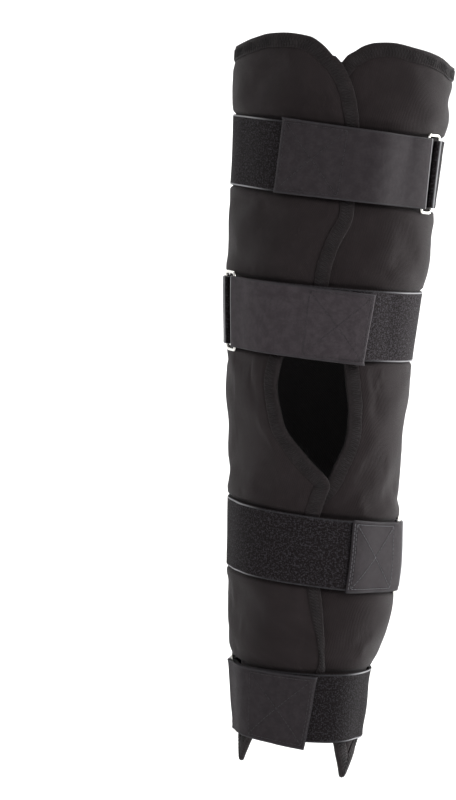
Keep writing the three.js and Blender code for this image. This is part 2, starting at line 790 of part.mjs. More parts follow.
function piece(name, geometry, material) {
  const mesh = new THREE.Mesh(geometry, material);
  mesh.name = name;
  return mesh;
}

const immobilizer = new THREE.Group();
immobilizer.name = "knee_immobilizer";
const grid = wrapGrid();
immobilizer.add(piece("wrap", wrapGeometry(grid), materials.padding));
immobilizer.add(piece("edge_binding", bindingGeometry(grid), materials.binding));
for (const strap of straps) {
  immobilizer.add(piece(`strap_${strap.name}`, strapGeometry(strap), materials.strap));
  immobilizer.add(piece(`hook_patch_${strap.name}`, patchGeometry(strap), materials.hook));
  immobilizer.add(piece(`ring_${strap.name}`, ringGeometry(strap), materials.metal));
  immobilizer.add(piece(`ring_tab_${strap.name}`, tabGeometry(strap), materials.strap));
}

export default immobilizer;
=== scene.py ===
"""Looks of a knee immobilizer: a padded wrap with its edge binding, four broad straps, their rings,
ring tabs, hook patches and stitching. Metres. +Z runs up the leg and the front faces -Y.
"""
import math

import bpy
import numpy as np
from bpy.props import FloatProperty, FloatVectorProperty, IntProperty, PointerProperty
from mathutils import Matrix, Vector


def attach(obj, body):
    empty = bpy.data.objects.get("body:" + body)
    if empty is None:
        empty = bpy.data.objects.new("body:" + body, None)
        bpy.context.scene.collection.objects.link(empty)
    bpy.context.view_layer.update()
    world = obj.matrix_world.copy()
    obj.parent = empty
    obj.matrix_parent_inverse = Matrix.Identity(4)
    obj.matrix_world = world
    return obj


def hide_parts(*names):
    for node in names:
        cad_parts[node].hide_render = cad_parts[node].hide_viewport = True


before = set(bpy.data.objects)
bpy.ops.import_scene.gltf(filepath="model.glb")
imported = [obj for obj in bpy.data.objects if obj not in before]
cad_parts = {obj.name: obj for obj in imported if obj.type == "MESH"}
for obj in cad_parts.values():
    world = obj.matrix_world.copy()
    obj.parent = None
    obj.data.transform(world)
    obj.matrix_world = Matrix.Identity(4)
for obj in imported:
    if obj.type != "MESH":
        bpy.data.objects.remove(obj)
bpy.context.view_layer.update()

bl_info = {
    "name": "Knee immobilizer",
    "version": (1, 0, 0),
    "blender": (4, 5, 0),
    "location": "3D View > Sidebar > Immobilizer",
    "description": "Builds a worn knee immobilizer: padded wrap, binding, straps, rings and stitching",
    "category": "Add Mesh",
}

MM = 0.001
TURN = 2 * math.pi

# Lengths of the CAD part that no property sets, in metres.
HEM_INSET, ARCH_RISE, EAR_RISE = 0.0295, 0.037, 0.017
BINDING_GAP, BINDING_THICKNESS = 0.0009, 0.0008
FLAP_GAP, SEAT_GAP, LAYER_GAP = 0.0007, 0.0005, 0.0003
CLIMB = (-0.080, -0.022)
STRAP_CLIMB = (-0.093, -0.035)
STRAP_DESCENT = (0.020, 0.060)
CINCH_DEPTH, CINCH_FADE = 0.0024, 0.0032
RING_LENGTH, RING_BEND, RING_PLAY = 0.019, 0.0036, 0.0012
TAB_THICKNESS, TAB_SEWN, TAB_EASE = 0.0015, 0.052, 0.0173
PATCH_THICKNESS, PATCH_LENGTH, BOX_WIDTH, TAIL_EASE = 0.0012, 0.052, 0.052, 0.026
STRAP_START = 186

# Stitching: where the box seams start from the free end, and how far they stay from the selvages.
BOX_START, BOX_LENGTH, BOX_MARGIN = 0.0036, 0.049, 0.0032
TAB_BOX, TAB_ROW, TAB_MARGIN = (0.003, 0.036), 0.0395, 0.003

# How far in from a strap's edge the firm selvage and its partly painted highlight show most, in millimetres.
SELVAGE_INSET = 0.9

# The cloth simulation: every third point, its frames, and the cap and softness of its move.
SETTLE_STRIDE, SETTLE_FRAMES, SETTLE_MOST, SETTLE_REACH = 3, 20, 0.0008, 0.0012

# The straps from the top, as in the part's source: share of the height, tilt, side of the ring, the
# angles of the ring and the free end, lean of the ring and dip of the tail. The rest is for the looks:
# press round the ring, spread of the tail, how deep its box seam shows, tone, and whether it lies on
# the bottom hem.
STRAP_COLUMNS = "name at tilt side ring tail lean dip press spread sewn tone on_hem".split()
STRAPS = [dict(zip(STRAP_COLUMNS, row)) for row in (
    ("upper_thigh", 0.673, -3.0, 1, 55.8, -30, -2.6, -0.001, 0.0008, 0.055, 0.12, 1.03, False),
    ("lower_thigh", 0.252, -1.2, -1, 63, -25, 0, 0.003, 0.0008, 0.0, 0.12, 1.6, False),
    ("upper_calf", -0.367, -4.0, 1, 74, 21, 0, 0.0, 0.0008, 0.05, 1.0, 1.05, False),
    ("lower_calf", -0.8, 0.0, -1, 78, -7, 4, 0.004, 0.0035, 0.07, 0.1, 0.88, True),
)]

# Sections of the wrap from the ankle up: share of the height, width, depth, right, back.
SECTIONS = [
    (-1.0, 0.568, 0.574, 0.036, 0.046), (-0.935, 0.568, 0.577, 0.04, 0.046),
    (-0.885, 0.566, 0.582, 0.044, 0.046), (-0.819, 0.59, 0.599, 0.04, 0.046),
    (-0.724, 0.612, 0.64, 0.026, 0.046), (-0.655, 0.676, 0.692, 0.027, 0.064),
    (-0.598, 0.717, 0.733, 0.045, 0.076), (-0.512, 0.755, 0.773, 0.056, 0.081),
    (-0.409, 0.782, 0.8, 0.052, 0.076), (-0.273, 0.784, 0.797, 0.029, 0.046), (-0.136, 0.78, 0.797, 0.013, 0),
    (0, 0.802, 0.82, -0.011, -0.035), (0.167, 0.845, 0.855, -0.018, -0.012),
    (0.333, 0.89, 0.895, -0.02, 0.012), (0.5, 0.919, 0.93, -0.009, 0.023),
    (0.667, 0.94, 0.959, 0.003, 0.035), (0.833, 0.973, 0.983, 0.011, 0.041),
    (1.0, 1, 1, 0.022, 0.046),
]

# The free edges of the two flaps as (along, across) in three stretches. Then the hems by angle: shares of
# the ear's rise at the top, and of the front arch and the tips at the bottom.
OUTER_EDGE = dict(
    below=[(1, 0.433), (0.897, 0.53), (0.607, 0.27), (0.307, 0.03), (0.16, 0.06), (0.055, 0.2)],
    opening=[(0, 0.145), (0.133, -0.093), (0.337, -0.437), (0.42, -0.493), (0.508, -0.547), (0.575, -0.57),
        (0.742, -0.515), (0.886, -0.3), (1, -0.033)],
    above=[(0.185, 0.02), (0.28, 0.16), (0.4, 0.44), (0.73, 0.385), (0.82, 0.277), (0.88, 0.147), (0.92, 0.02),
        (0.97, -0.2), (1, -0.41)],
)
INNER_EDGE = dict(
    below=[(1, -0.333), (0.897, -0.433), (0.607, -0.5), (0.307, -0.567), (0.17, -0.4), (0.075, -0.1)],
    opening=[(0, 0.145), (0.131, 0.28), (0.267, 0.415), (0.362, 0.447), (0.445, 0.447), (0.613, 0.385),
        (0.742, 0.335), (0.886, 0.18), (1, -0.033)],
    above=[(0.07, -0.4), (0.185, -0.6), (0.4, -0.6), (0.73, -0.567), (0.82, -0.5), (0.92, -0.33), (1, -0.25)],
)
TOP_HEM = [
    (-4.5, -0.5), (-2, -0.18), (0.8, 0.18), (4, 0.36), (8, 0.62), (14.3, 0.81), (23, 0.87), (37, 0.72),
    (48, 0.58), (60, 0.37), (74, 0.06), (90, 0), (130, 0), (230, 0), (270, 0.24), (288, 0.44), (303, 0.71),
    (316, 0.94), (328, 1), (340, 0.9), (347, 0.55), (352, 0.1),
]
RIGHT_TIP, LEFT_TIP = 54, 293
BOTTOM_HEM = [
    (-11, 1, 0), (0, 0.85, 0), (12, 0.62, 0), (26, 0.33, 0), (38, 0.02, 0), (46, 0, 0.48), (54, 0, 1),
    (62, 0, 0.74), (71, 0, 0.4), (81, 0, 0.13), (94, 0, 0), (262, 0, 0), (272, 0, 0.1), (283, 0, 0.38),
    (293, 0, 0.77), (302, 0, 0.4), (313, 0.02, 0), (329, 0.25, 0), (345, 0.48, 0), (360, 0.72, 0),
    (374, 1, 0),
]


def length(label, words, size):
    """A length property in metres."""
    return FloatProperty(name=label, description=words, default=size, unit="LENGTH")


class BraceSizes(bpy.types.PropertyGroup):
    """Sizes of the immobilizer, the same as the CAD part's."""

    rise_above_knee: length("Rise above knee", "Kneecap to the highest point of the top hem", 0.298)
    drop_below_knee: length("Drop below knee", "Kneecap to the lowest tip of the bottom hem", 0.293)
    thigh_width: length("Thigh width", "Outside of the wrap at the top hem, side to side", 0.178)
    thigh_depth: length("Thigh depth", "Outside of the wrap at the top hem, front to back", 0.172)
    wall: length("Padding", "Thickness of the padded wrap", 0.004)
    overlap: length("Overlap", "How far the outer flap lies over the inner one", 0.030)
    opening_width: length("Knee opening width", "Width of the opening over the kneecap", 0.060)
    opening_top: length("Knee opening top", "Top of the opening above the kneecap", 0.078)
    opening_bottom: length("Knee opening bottom", "Bottom of the opening below the kneecap", 0.054)
    binding_width: length("Binding width", "How far the edge binding reaches over the wrap", 0.0098)
    strap_width: length("Strap width", "Width of each strap", 0.0565)
    strap_thickness: length("Strap thickness", "Thickness of each strap", 0.002)
    tab_width: length("Tab width", "Width of the tab that holds a ring", 0.054)
    wire_radius: length("Wire radius", "Radius of the ring's wire", 0.0014)
    stitch: length("Stitch length", "Length of one lockstitch", 0.0033)
    zigzag: length("Zigzag pitch", "Pitch of the zigzag seam on the binding", 0.0029)
    wire_sides: IntProperty(name="Wire sides", description="Facets round the ring's wire", default=16)


def colour(label, words, rgb):
    """A colour property whose default is given as an sRGB triple from 0 to 255."""
    linear = tuple(((c / 255 + 0.055) / 1.055) ** 2.4 if c > 10 else c / 255 / 12.92 for c in rgb)
    return FloatVectorProperty(name=label, description=words, default=linear, subtype="COLOR", min=0, max=1)


class BraceColours(bpy.types.PropertyGroup):
    """Colours of the finishes."""

    knit: colour("Knit", "Knitted face of the padding", (38, 32, 33))
    knit_worn: colour("Knit, brushed", "Lighter, brushed parts of the knitted face", (49, 43, 44))
    # Part of the lining's lightness is painted light, for the inside of the wrap, which the lamps barely
    # reach.
    lining: colour("Lining", "Inner face of the padding", (84, 82, 83))
    tape: colour("Binding", "Knitted tape over the edges", (37, 32, 33))
    loop: colour("Loop face", "Napped face of the straps", (25, 21, 22))
    loop_speck: colour("Loop speck", "Lighter specks of the nap", (58, 56, 60))
    webbing: colour("Smooth face", "Smooth reverse of the straps", (56, 51, 54))
    # Painted highlight: the bright colour laid on the outer edge of each strap's fold and on the selvages seen
    # from the side.
    crease: colour("Worn edge", "Folds and edges that are rubbed bright", (185, 185, 188))
    thread_light: colour("Light thread", "Thread of the seam that shows", (104, 103, 107))
    # The selvage's colour: the firm edge's own lighter tone, and partly a painted highlight along each strap's
    # edges.
    selvage: colour("Selvage", "Firm edge of the straps", (61, 61, 64))
    thread: colour("Thread", "Sewing thread", (52, 49, 52))
    zigzag: colour("Seam thread", "Thread of the zigzag seam", (40, 37, 38))
    hook: colour("Hook", "Hook tape under the free ends", (24, 24, 26))
    nickel: colour("Nickel", "Plated wire", (222, 221, 216))
    floor: colour("Floor", "Pale studio floor", (246, 246, 246))


# ---------------------------------------------------------------- numbers


def smoothstep(x, low, high):
    """Rises from 0 at low to 1 at high along three t squared less two t cubed."""
    t = np.clip((x - low) / (high - low), 0, 1)
    return t * t * (3 - 2 * t)


def lerp(a, b, t):
    return a + (b - a) * t


def hump(x, middle, width):
    """A bell curve, 1 at its middle and 1/e at a width from it."""
    return np.exp(-(((x - middle) / width) ** 2))


def stacked(*parts):
    """Arrays of any shapes that fit as the last axis of one."""
    return np.stack(np.broadcast_arrays(*parts), axis=-1)


def running(steps):
    """The running total of steps, from 0."""
    return np.concatenate([[0], np.cumsum(steps)])


def curve_through(rows):
    """A monotone cubic curve through (x, y) rows: the tangent at a row is the harmonic mean of the
    slopes on its two sides, or level where they turn."""
    x, y = (np.array(column, float) for column in zip(*sorted(rows)))
    slope = np.diff(y) / np.diff(x)
    before, after = slope[:-1], slope[1:]
    total = before + after
    mean = 2 * before * after / np.where(total == 0, 1, total)
    inner = np.where(before * after > 0, mean, 0)
    tangent = np.concatenate([slope[:1], inner, slope[-1:]])

    def at(value):
        p = np.clip(value, x[0], x[-1])
        i = np.clip(np.searchsorted(x, p) - 1, 0, len(x) - 2)
        step = x[i + 1] - x[i]
        t = (p - x[i]) / step
        bow = tangent[i] * step * t * (1 - t) ** 2 - tangent[i + 1] * step * t**2 * (1 - t)
        return lerp(y[i], y[i + 1], t * t * (3 - 2 * t)) + bow

    return at


def graded(count, start=0.0, end=0.0):
    """count + 1 shares from 0 to 1, closer together at the start or the end: the running total of
    steps that shrink by a half cosine towards a graded end."""
    t = (np.arange(count) + 0.5) / count
    step = 1 - start * np.cos(t * math.pi / 2) ** 2 - end * np.sin(t * math.pi / 2) ** 2
    total = running(step)
    return total / total[-1]


def unit(v):
    return v / np.maximum(np.linalg.norm(v, axis=-1, keepdims=True), 1e-12)


def waves(u, v, seed, count, low, high, turn=(0, math.pi)):
    """A soft uneven field from -1 to 1: the mean of count sine waves over (u, v) whose lengths lie
    between low and high and whose directions lie between the two angles of turn."""
    rng = np.random.default_rng(seed)
    length = rng.uniform(low, high, count)
    heading = rng.uniform(*turn, count)
    phase = rng.uniform(0, TURN, count)
    total = 0
    for wave, way, start in zip(length, heading, phase):
        total = total + np.sin((u * math.cos(way) + v * math.sin(way)) * TURN / wave + start)
    return total / math.sqrt(count)


# ---------------------------------------------------------------- the worn shape


class Worn:
    """The leg-shaped surface that every piece lies on, from the same numbers as the CAD part."""

    def __init__(self, s):
        self.s = s
        self.proud = BINDING_GAP + BINDING_THICKNESS
        self.flap_lift = s.wall + self.proud + FLAP_GAP
        rows = [(self.height(r[0]), *r[1:]) for r in SECTIONS]
        half = (s.thigh_width / 2, s.thigh_depth / 2, s.thigh_width / 2, s.thigh_depth / 2)
        self.section = [curve_through([(r[0], r[k + 1] * half[k]) for r in rows]) for k in range(4)]
        for strap in STRAPS:
            strap["z"] = self.height(strap["at"])
            strap["radius"] = self.radius(strap["z"])
        level = HEM_INSET - s.drop_below_knee
        top = s.rise_above_knee - EAR_RISE
        self.top_hem = curve_through([(math.radians(a), top + ear * EAR_RISE) for a, ear in TOP_HEM])
        hem = [(math.radians(a), level + arch * ARCH_RISE - ear * HEM_INSET) for a, arch, ear in BOTTOM_HEM]
        cut = [math.radians(RIGHT_TIP), math.radians(LEFT_TIP)]
        bounds = [-math.inf, *cut, math.inf]
        self.hems = [curve_through([r for r in hem if low - 1e-9 <= r[0] <= high + 1e-9])
                     for low, high in zip(bounds, bounds[1:])]
        self.cut = cut
        corners = (level + ARCH_RISE, top + 0.2 * EAR_RISE)
        self.outer_edge = self.flap_edge(OUTER_EDGE, *corners)
        self.inner_edge = self.flap_edge(INNER_EDGE, *corners)

    def height(self, share):
        """A share of the reach above or below the kneecap as a height."""
        return share * (self.s.drop_below_knee if share < 0 else self.s.rise_above_knee)

    def flap_edge(self, table, bottom, top):
        """How far round the free edge of a flap lies, by height: its three stretches on end."""
        s = self.s
        low, high = -s.opening_bottom, s.opening_top
        rows = [(lerp(low, bottom, a), c * s.overlap) for a, c in table["below"]]
        rows += [(lerp(low, high, a), c * s.opening_width) for a, c in table["opening"]]
        rows += [(lerp(high, top, a), c * s.overlap) for a, c in table["above"]]
        return curve_through(rows)

    def bottom_hem(self, angle):
        """The bottom hem's height: three curves that meet in the two tips."""
        right, back, left = (hem(angle) for hem in self.hems)
        return np.where(angle < self.cut[0], right, np.where(angle > self.cut[1], left, back))

    def radius(self, z):
        """The mean of the half width and the half depth."""
        return (self.section[0](z) + self.section[1](z)) / 2

    def middle(self, strap, angle):
        """A strap's middle line: a plane tilted side to side."""
        tilt = math.tan(math.radians(strap["tilt"]))
        return strap["z"] + tilt * self.section[0](strap["z"]) * np.sin(angle)

    def beyond(self, strap, angle, z):
        """Distance up or down from a strap's edge, negative under the strap."""
        return np.abs(z - self.middle(strap, angle)) - self.s.strap_width / 2

    def cinch(self, angle, z):
        """The deepest of the straps' presses, each full under its strap and faded out beside it, and
        deeper by the strap's press round its ring."""
        deepest = 0
        for strap in STRAPS:
            above = z - self.middle(strap, angle)
            outside = (above if strap["on_hem"] else np.abs(above)) - self.s.strap_width / 2
            ring = strap["side"] * math.radians(strap["ring"] + 10)
            away = np.abs((angle - ring + math.pi) % TURN - math.pi)
            press = strap["press"] * (1 - smoothstep(away, 0.25, 0.75))
            near = 1 - smoothstep(np.abs(above) - self.s.strap_width / 2, 0, CINCH_FADE)
            depth = CINCH_DEPTH * (1 - smoothstep(outside, 0, CINCH_FADE))
            deepest = np.maximum(deepest, depth + press * near)
        return deepest

    def skin(self, angle, z, out):
        """A point on the ellipse of its height, moved along the ellipse's normal by out less the cinch."""
        width, depth, right, back = (curve(z) for curve in self.section)
        normal = unit(stacked(np.sin(angle) / width, -np.cos(angle) / depth))
        reach = out - self.cinch(angle, z)
        x = right + width * np.sin(angle) + normal[..., 0] * reach
        y = back - depth * np.cos(angle) + normal[..., 1] * reach
        return stacked(x, y, z)

    def wrap(self, angle, z, out):
        """A point on or off the wrap, which climbs over its inner flap near a full turn."""
        across = (angle - TURN) * self.radius(z)
        return self.skin(angle, z, out + self.flap_lift * smoothstep(across, *CLIMB))

    def seat(self, strap, angle):
        """How far a strap's underside stands off the padding: a hump over the closure in front."""
        across = angle * strap["radius"]
        lifted = smoothstep(across, *STRAP_CLIMB) * (1 - smoothstep(across, *STRAP_DESCENT))
        on_hem = self.proud if strap["on_hem"] else 0
        return SEAT_GAP + on_hem + lifted * (self.flap_lift + self.proud - on_hem)

    def bars(self, strap):
        """Angle and height of a ring's near and far bars."""
        s = self.s
        near = strap["side"] * math.radians(strap["ring"])
        far = near + strap["side"] * RING_LENGTH / strap["radius"]
        off = self.seat(strap, near) + LAYER_GAP + s.wire_radius
        return (near, off + s.strap_thickness), (far, off + TAB_THICKNESS)

    def lean(self, strap, angle, above):
        """How far round a place is carried by the lean of its ring, which fades out along the strap."""
        radius, side = strap["radius"], strap["side"]
        (near, _), (far, _) = self.bars(strap)
        away = np.maximum(0, np.maximum(side * (near - angle), side * (angle - far))) * radius
        carried = 1 - smoothstep(away, 0.009, 0.036)
        return side * carried * above * math.tan(math.radians(strap["lean"])) / radius


# ---------------------------------------------------------------- meshes


def finished(name, vertices, faces, material, uv=None, fields=None):
    """Makes a mesh object from arrays: vertices, faces of one size each, a UV map in metres and named
    values per vertex. A closed mesh that is inside out, which shows in the sign of its volume, is
    turned."""
    faces = [np.asarray(f, np.int64) for f in (faces if isinstance(faces, list) else [faces])]
    volume = 0.0
    for f in faces:
        for k in range(1, f.shape[1] - 1):
            a, b, c = (vertices[f[:, corner]] for corner in (0, k, k + 1))
            volume += np.einsum("ij,ij->", a, np.cross(b, c))
    if volume < 0:
        faces = [f[:, ::-1] for f in faces]
    loops = np.concatenate([f.ravel() for f in faces])
    counts = np.concatenate([np.full(len(f), f.shape[1]) for f in faces])
    mesh = bpy.data.meshes.new(name)
    mesh.vertices.add(len(vertices))
    mesh.vertices.foreach_set("co", np.ascontiguousarray(vertices, np.float32).ravel())
    mesh.loops.add(len(loops))
    mesh.loops.foreach_set("vertex_index", loops.astype(np.int32))
    mesh.polygons.add(len(counts))
    mesh.polygons.foreach_set("loop_start", running(counts)[:-1].astype(np.int32))
    mesh.update(calc_edges=True)
    mesh.validate()
    mesh.polygons.foreach_set("use_smooth", np.ones(len(mesh.polygons), bool))
    if uv is not None:
        layer = mesh.uv_layers.new(name="weave")
        index = np.empty(len(mesh.loops), np.int32)
        mesh.loops.foreach_get("vertex_index", index)
        layer.data.foreach_set("uv", np.ascontiguousarray(uv[index], np.float32).ravel())
    for key, values in (fields or {}).items():
        layer = mesh.attributes.new(key, "FLOAT", "POINT")
        layer.data.foreach_set("value", values.astype(np.float32).ravel())
    if material:
        mesh.materials.append(material)
    piece = bpy.data.objects.new(name, mesh)
    bpy.context.scene.collection.objects.link(piece)
    return piece


def quads(a, b, c, d):
    """Faces from four arrays of corner numbers."""
    return np.stack([a, b, c, d], axis=-1).reshape(-1, 4)


def grid_quads(rows, columns, offset=0):
    """The faces of a grid that is stored row by row."""
    i = np.arange(rows * columns).reshape(rows, columns) + offset
    return quads(i[:-1, :-1], i[:-1, 1:], i[1:, 1:], i[1:, :-1])


def around(grid):
    """A grid's outer entries, along its first row, down, back and up."""
    return np.concatenate([grid[0, :-1], grid[:-1, -1], grid[-1, :0:-1], grid[:0:-1, 0]])


def two_faced(top, bottom):
    """A closed solid from two grids of the same shape, joined by walls along their four sides.
    Returns its vertices, faces and a mark that is 1 on the top grid."""
    rows, columns = top.shape[:2]
    count = rows * columns
    rim = around(np.arange(count).reshape(rows, columns))
    after = np.roll(rim, -1)
    upper = grid_quads(rows, columns)
    lower = grid_quads(rows, columns, count)[:, ::-1]
    faces = np.concatenate([upper, lower, quads(after, rim, rim + count, after + count)])
    mark = np.concatenate([np.ones(count), np.zeros(count)])
    return np.concatenate([top.reshape(-1, 3), bottom.reshape(-1, 3)]), faces, mark


def tubes(centres, normals, radius, sides, closed):
    """Round threads or wires along many lines at once: at each point a circle of the given radius in
    the plane of the surface normal and the sideways direction. Open ones end in flat caps."""
    count, length = centres.shape[:2]
    if closed:
        along = np.roll(centres, -1, axis=1) - np.roll(centres, 1, axis=1)
    else:
        along = np.gradient(centres, axis=1)
    along = unit(along)
    side = unit(np.cross(along, normals))
    up = np.cross(side, along)
    turn = TURN * np.arange(sides) / sides
    reach = np.broadcast_to(radius, (count, length))[..., None, None]
    circle = side[:, :, None] * np.cos(turn)[:, None] + up[:, :, None] * np.sin(turn)[:, None]
    points = centres[:, :, None] + reach * circle
    i = np.arange(count * length * sides).reshape(count, length, sides)
    here, there = (i, np.roll(i, -1, axis=1)) if closed else (i[:, :-1], i[:, 1:])
    skin = quads(here, there, np.roll(there, -1, axis=2), np.roll(here, -1, axis=2))
    faces = [skin] if closed else [skin, i[:, 0], i[:, -1, ::-1]]
    return points.reshape(-1, 3), faces


# ---------------------------------------------------------------- the wrap and its binding


class Wrap:
    """The wrap as a grid of angle and height, whose first and last columns are the free edges of the
    two flaps and whose first and last rows are the hems. Between them rows follow the straps' edges,
    and STEPS counts the rows from one of these lines to the next, closer together near the lines."""

    STEPS = (26, 30, 16, 46, 18, 30, 16, 32)
    COLUMNS = (44, 110, 66)

    def __init__(self, worn):
        self.worn = worn
        steps = [np.arange(count) / count for count in self.STEPS]
        steps = [k + lerp(t, 0.5 - 0.5 * np.cos(t * math.pi), 0.7) for k, t in enumerate(steps)]
        self.rows = np.append(np.concatenate(steps), len(self.STEPS))
        inner = self.end(worn.inner_edge, 0)
        outer = self.end(worn.outer_edge, TURN)
        right, left = worn.cut
        first, second, third = self.COLUMNS
        middle = lerp(right, left, graded(second)[:-1])
        fans = [
            lerp(inner[:, None], right, graded(first, start=0.6)[:-1]),
            np.broadcast_to(middle, (len(self.rows), second)),
            lerp(left, outer[:, None], graded(third, end=0.55)),
        ]
        self.angle = np.concatenate(fans, axis=1)
        self.z = self.level(self.angle, self.rows[:, None])
        self.flat = self.unrolled(self.angle, self.z)
        line = self.outline()
        line = self.unrolled(line[:, 0], line[:, 1])
        nearest = [np.sqrt(((row[:, None] - line) ** 2).sum(-1)).min(1) for row in self.flat]
        self.edge = np.array(nearest)

    def unrolled(self, angle, z):
        """A place on the wrap laid flat, as its length round the leg and its height."""
        return stacked(angle * self.worn.radius(z), z)

    def level(self, angle, row):
        """The height of a row at an angle: a share of the way between the two lines beside it."""
        worn, half = self.worn, self.worn.s.strap_width / 2
        lines = [worn.bottom_hem(angle)]
        for strap in reversed(STRAPS):
            middle = worn.middle(strap, angle)
            lines += [middle + half] if strap["on_hem"] else [middle - half, middle + half]
        lines = np.stack(np.broadcast_arrays(*lines, worn.top_hem(angle), row)[:-1])
        step = np.minimum(np.floor(row), len(self.STEPS) - 1).astype(int)
        step, row = np.broadcast_arrays(step, row, lines[0])[:2]
        low, high = (np.take_along_axis(lines, step[None] + k, axis=0)[0] for k in (0, 1))
        return lerp(low, high, row - step)

    def end(self, edge, turn):
        """The angle at which each row meets a flap's free edge, found by going half way to it again
        and again."""
        angle = np.full(len(self.rows), float(turn))
        for _ in range(40):
            z = self.level(angle, self.rows)
            angle = (angle + turn + edge(z) / self.worn.radius(z)) / 2
        return angle

    def outline(self):
        """The outline as (angle, z), along the bottom hem, up the outer edge, back and down."""
        return around(stacked(self.angle, self.z))

    def beside_straps(self, angle, z):
        """Distance from the nearest strap."""
        return np.min([self.worn.beyond(strap, angle, z) for strap in STRAPS], axis=0)

    def relief(self):
        """Height of the padding's outer face: sunk under the binding with a soft roll beside it,
        a swelling beside each strap, shallow folds that run from the straps, and one full place."""
        u, z, d = self.flat[..., 0], self.z, self.edge
        beside = self.beside_straps(self.angle, z)
        free = smoothstep(beside, 0.001, 0.016) * smoothstep(d, 0.011, 0.026)
        sunk = -0.0009 * (1 - smoothstep(d, 0.0085, 0.0115))
        roll = 0.0006 * hump(d, 0.0165, 0.0045) * smoothstep(beside, 0, 0.006)
        lip = 0.0002 * hump(beside, 0.009, 0.0045) * smoothstep(d, 0.010, 0.020)
        lip = lip * (0.75 + 0.45 * waves(u, z, 4, 5, 0.05, 0.13, (-0.2, 0.2)))
        folds = 0.00055 * free * waves(u, z, 11, 7, 0.045, 0.11, (0.9, 2.2))
        folds = folds + 0.00035 * free * waves(u, z, 12, 6, 0.028, 0.06, (0.5, 2.6))
        swell = 0.0008 * free * waves(u, z, 21, 6, 0.09, 0.20)
        full = 0.0024 * free * hump(u, 0.082, 0.030) * hump(z, 0.246, 0.012)
        return sunk + roll + lip + folds + swell + full


def settled(wrap, relief):
    """How far a cloth simulation moves the padding's face out or in: every third point of the grid as
    a sheet slightly larger than its place, held under the straps and the binding and blown out a
    little. The move along the surface's normal is capped and carried to the full grid in straight
    lines between the sheet's points."""
    worn = wrap.worn
    rows, columns = (np.unique(np.append(np.arange(0, n, SETTLE_STRIDE), n - 1)) for n in relief.shape)
    pick = np.ix_(rows, columns)
    angle, z = wrap.angle[pick], wrap.z[pick]
    start = worn.wrap(angle, z, relief[pick])
    normal = unit(worn.wrap(angle, z, relief[pick] + 0.001) - start)
    free = np.minimum(wrap.beside_straps(angle, z) - 0.001, wrap.edge[pick] - 0.012)
    held = 1 - smoothstep(free, 0, 0.010)
    sheet = finished("settling", start.reshape(-1, 3), grid_quads(*angle.shape), None)
    group = sheet.vertex_groups.new(name="held")
    levels = 8
    level = np.round(held.ravel() * levels).astype(int)
    for step in range(1, levels + 1):
        group.add(np.flatnonzero(level == step).tolist(), step / levels, "REPLACE")
    cloth = sheet.modifiers.new("cloth", "CLOTH")
    settings = cloth.settings
    settings.quality, settings.mass, settings.pin_stiffness = 6, 0.3, 1.0
    settings.tension_stiffness = settings.compression_stiffness = 12
    settings.shear_stiffness, settings.bending_stiffness = 4, 0.2
    settings.vertex_group_mass = "held"
    settings.shrink_min = -0.018
    settings.use_pressure, settings.uniform_pressure_force = True, 0.3
    settings.effector_weights.gravity = 0
    scene = bpy.context.scene
    for number in range(1, SETTLE_FRAMES + 1):
        scene.frame_set(number)
    result = sheet.evaluated_get(bpy.context.evaluated_depsgraph_get()).to_mesh()
    place = np.empty(start.size, np.float32)
    result.vertices.foreach_get("co", place)
    scene.frame_set(1)
    bpy.data.meshes.remove(sheet.data)
    move = ((place.reshape(start.shape) - start) * normal).sum(-1)
    if not np.isfinite(move).all():
        raise RuntimeError("the cloth simulation ran away")
    move = SETTLE_MOST * np.tanh(move / SETTLE_REACH) * (1 - held)
    full_rows, full_columns = (np.arange(n) for n in relief.shape)
    across = np.array([np.interp(full_columns, columns, row) for row in move])
    return np.array([np.interp(full_rows, rows, column) for column in across.T]).T


def make_wrap(s, look):
    """The padded wrap: an outer face with its relief, settled as cloth, and an inner face a wall's
    thickness in."""
    worn = Worn(s)
    wrap = Wrap(worn)
    relief = wrap.relief()
    relief = relief + settled(wrap, relief)
    squeeze = 0.0007 * (1 - smoothstep(wrap.edge, 0.0085, 0.013))
    outer = worn.wrap(wrap.angle, wrap.z, relief)
    inner = worn.wrap(wrap.angle, wrap.z, -s.wall + squeeze)
    vertices, faces, mark = two_faced(outer, inner)
    flat = wrap.flat.reshape(-1, 2)
    piece = finished("padded_wrap", vertices, faces, look, np.concatenate([flat, flat]),
                     {"outside": mark, "edge": np.tile(wrap.edge.ravel(), 2)})
    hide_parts("wrap")
    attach(piece, "root")
    return piece


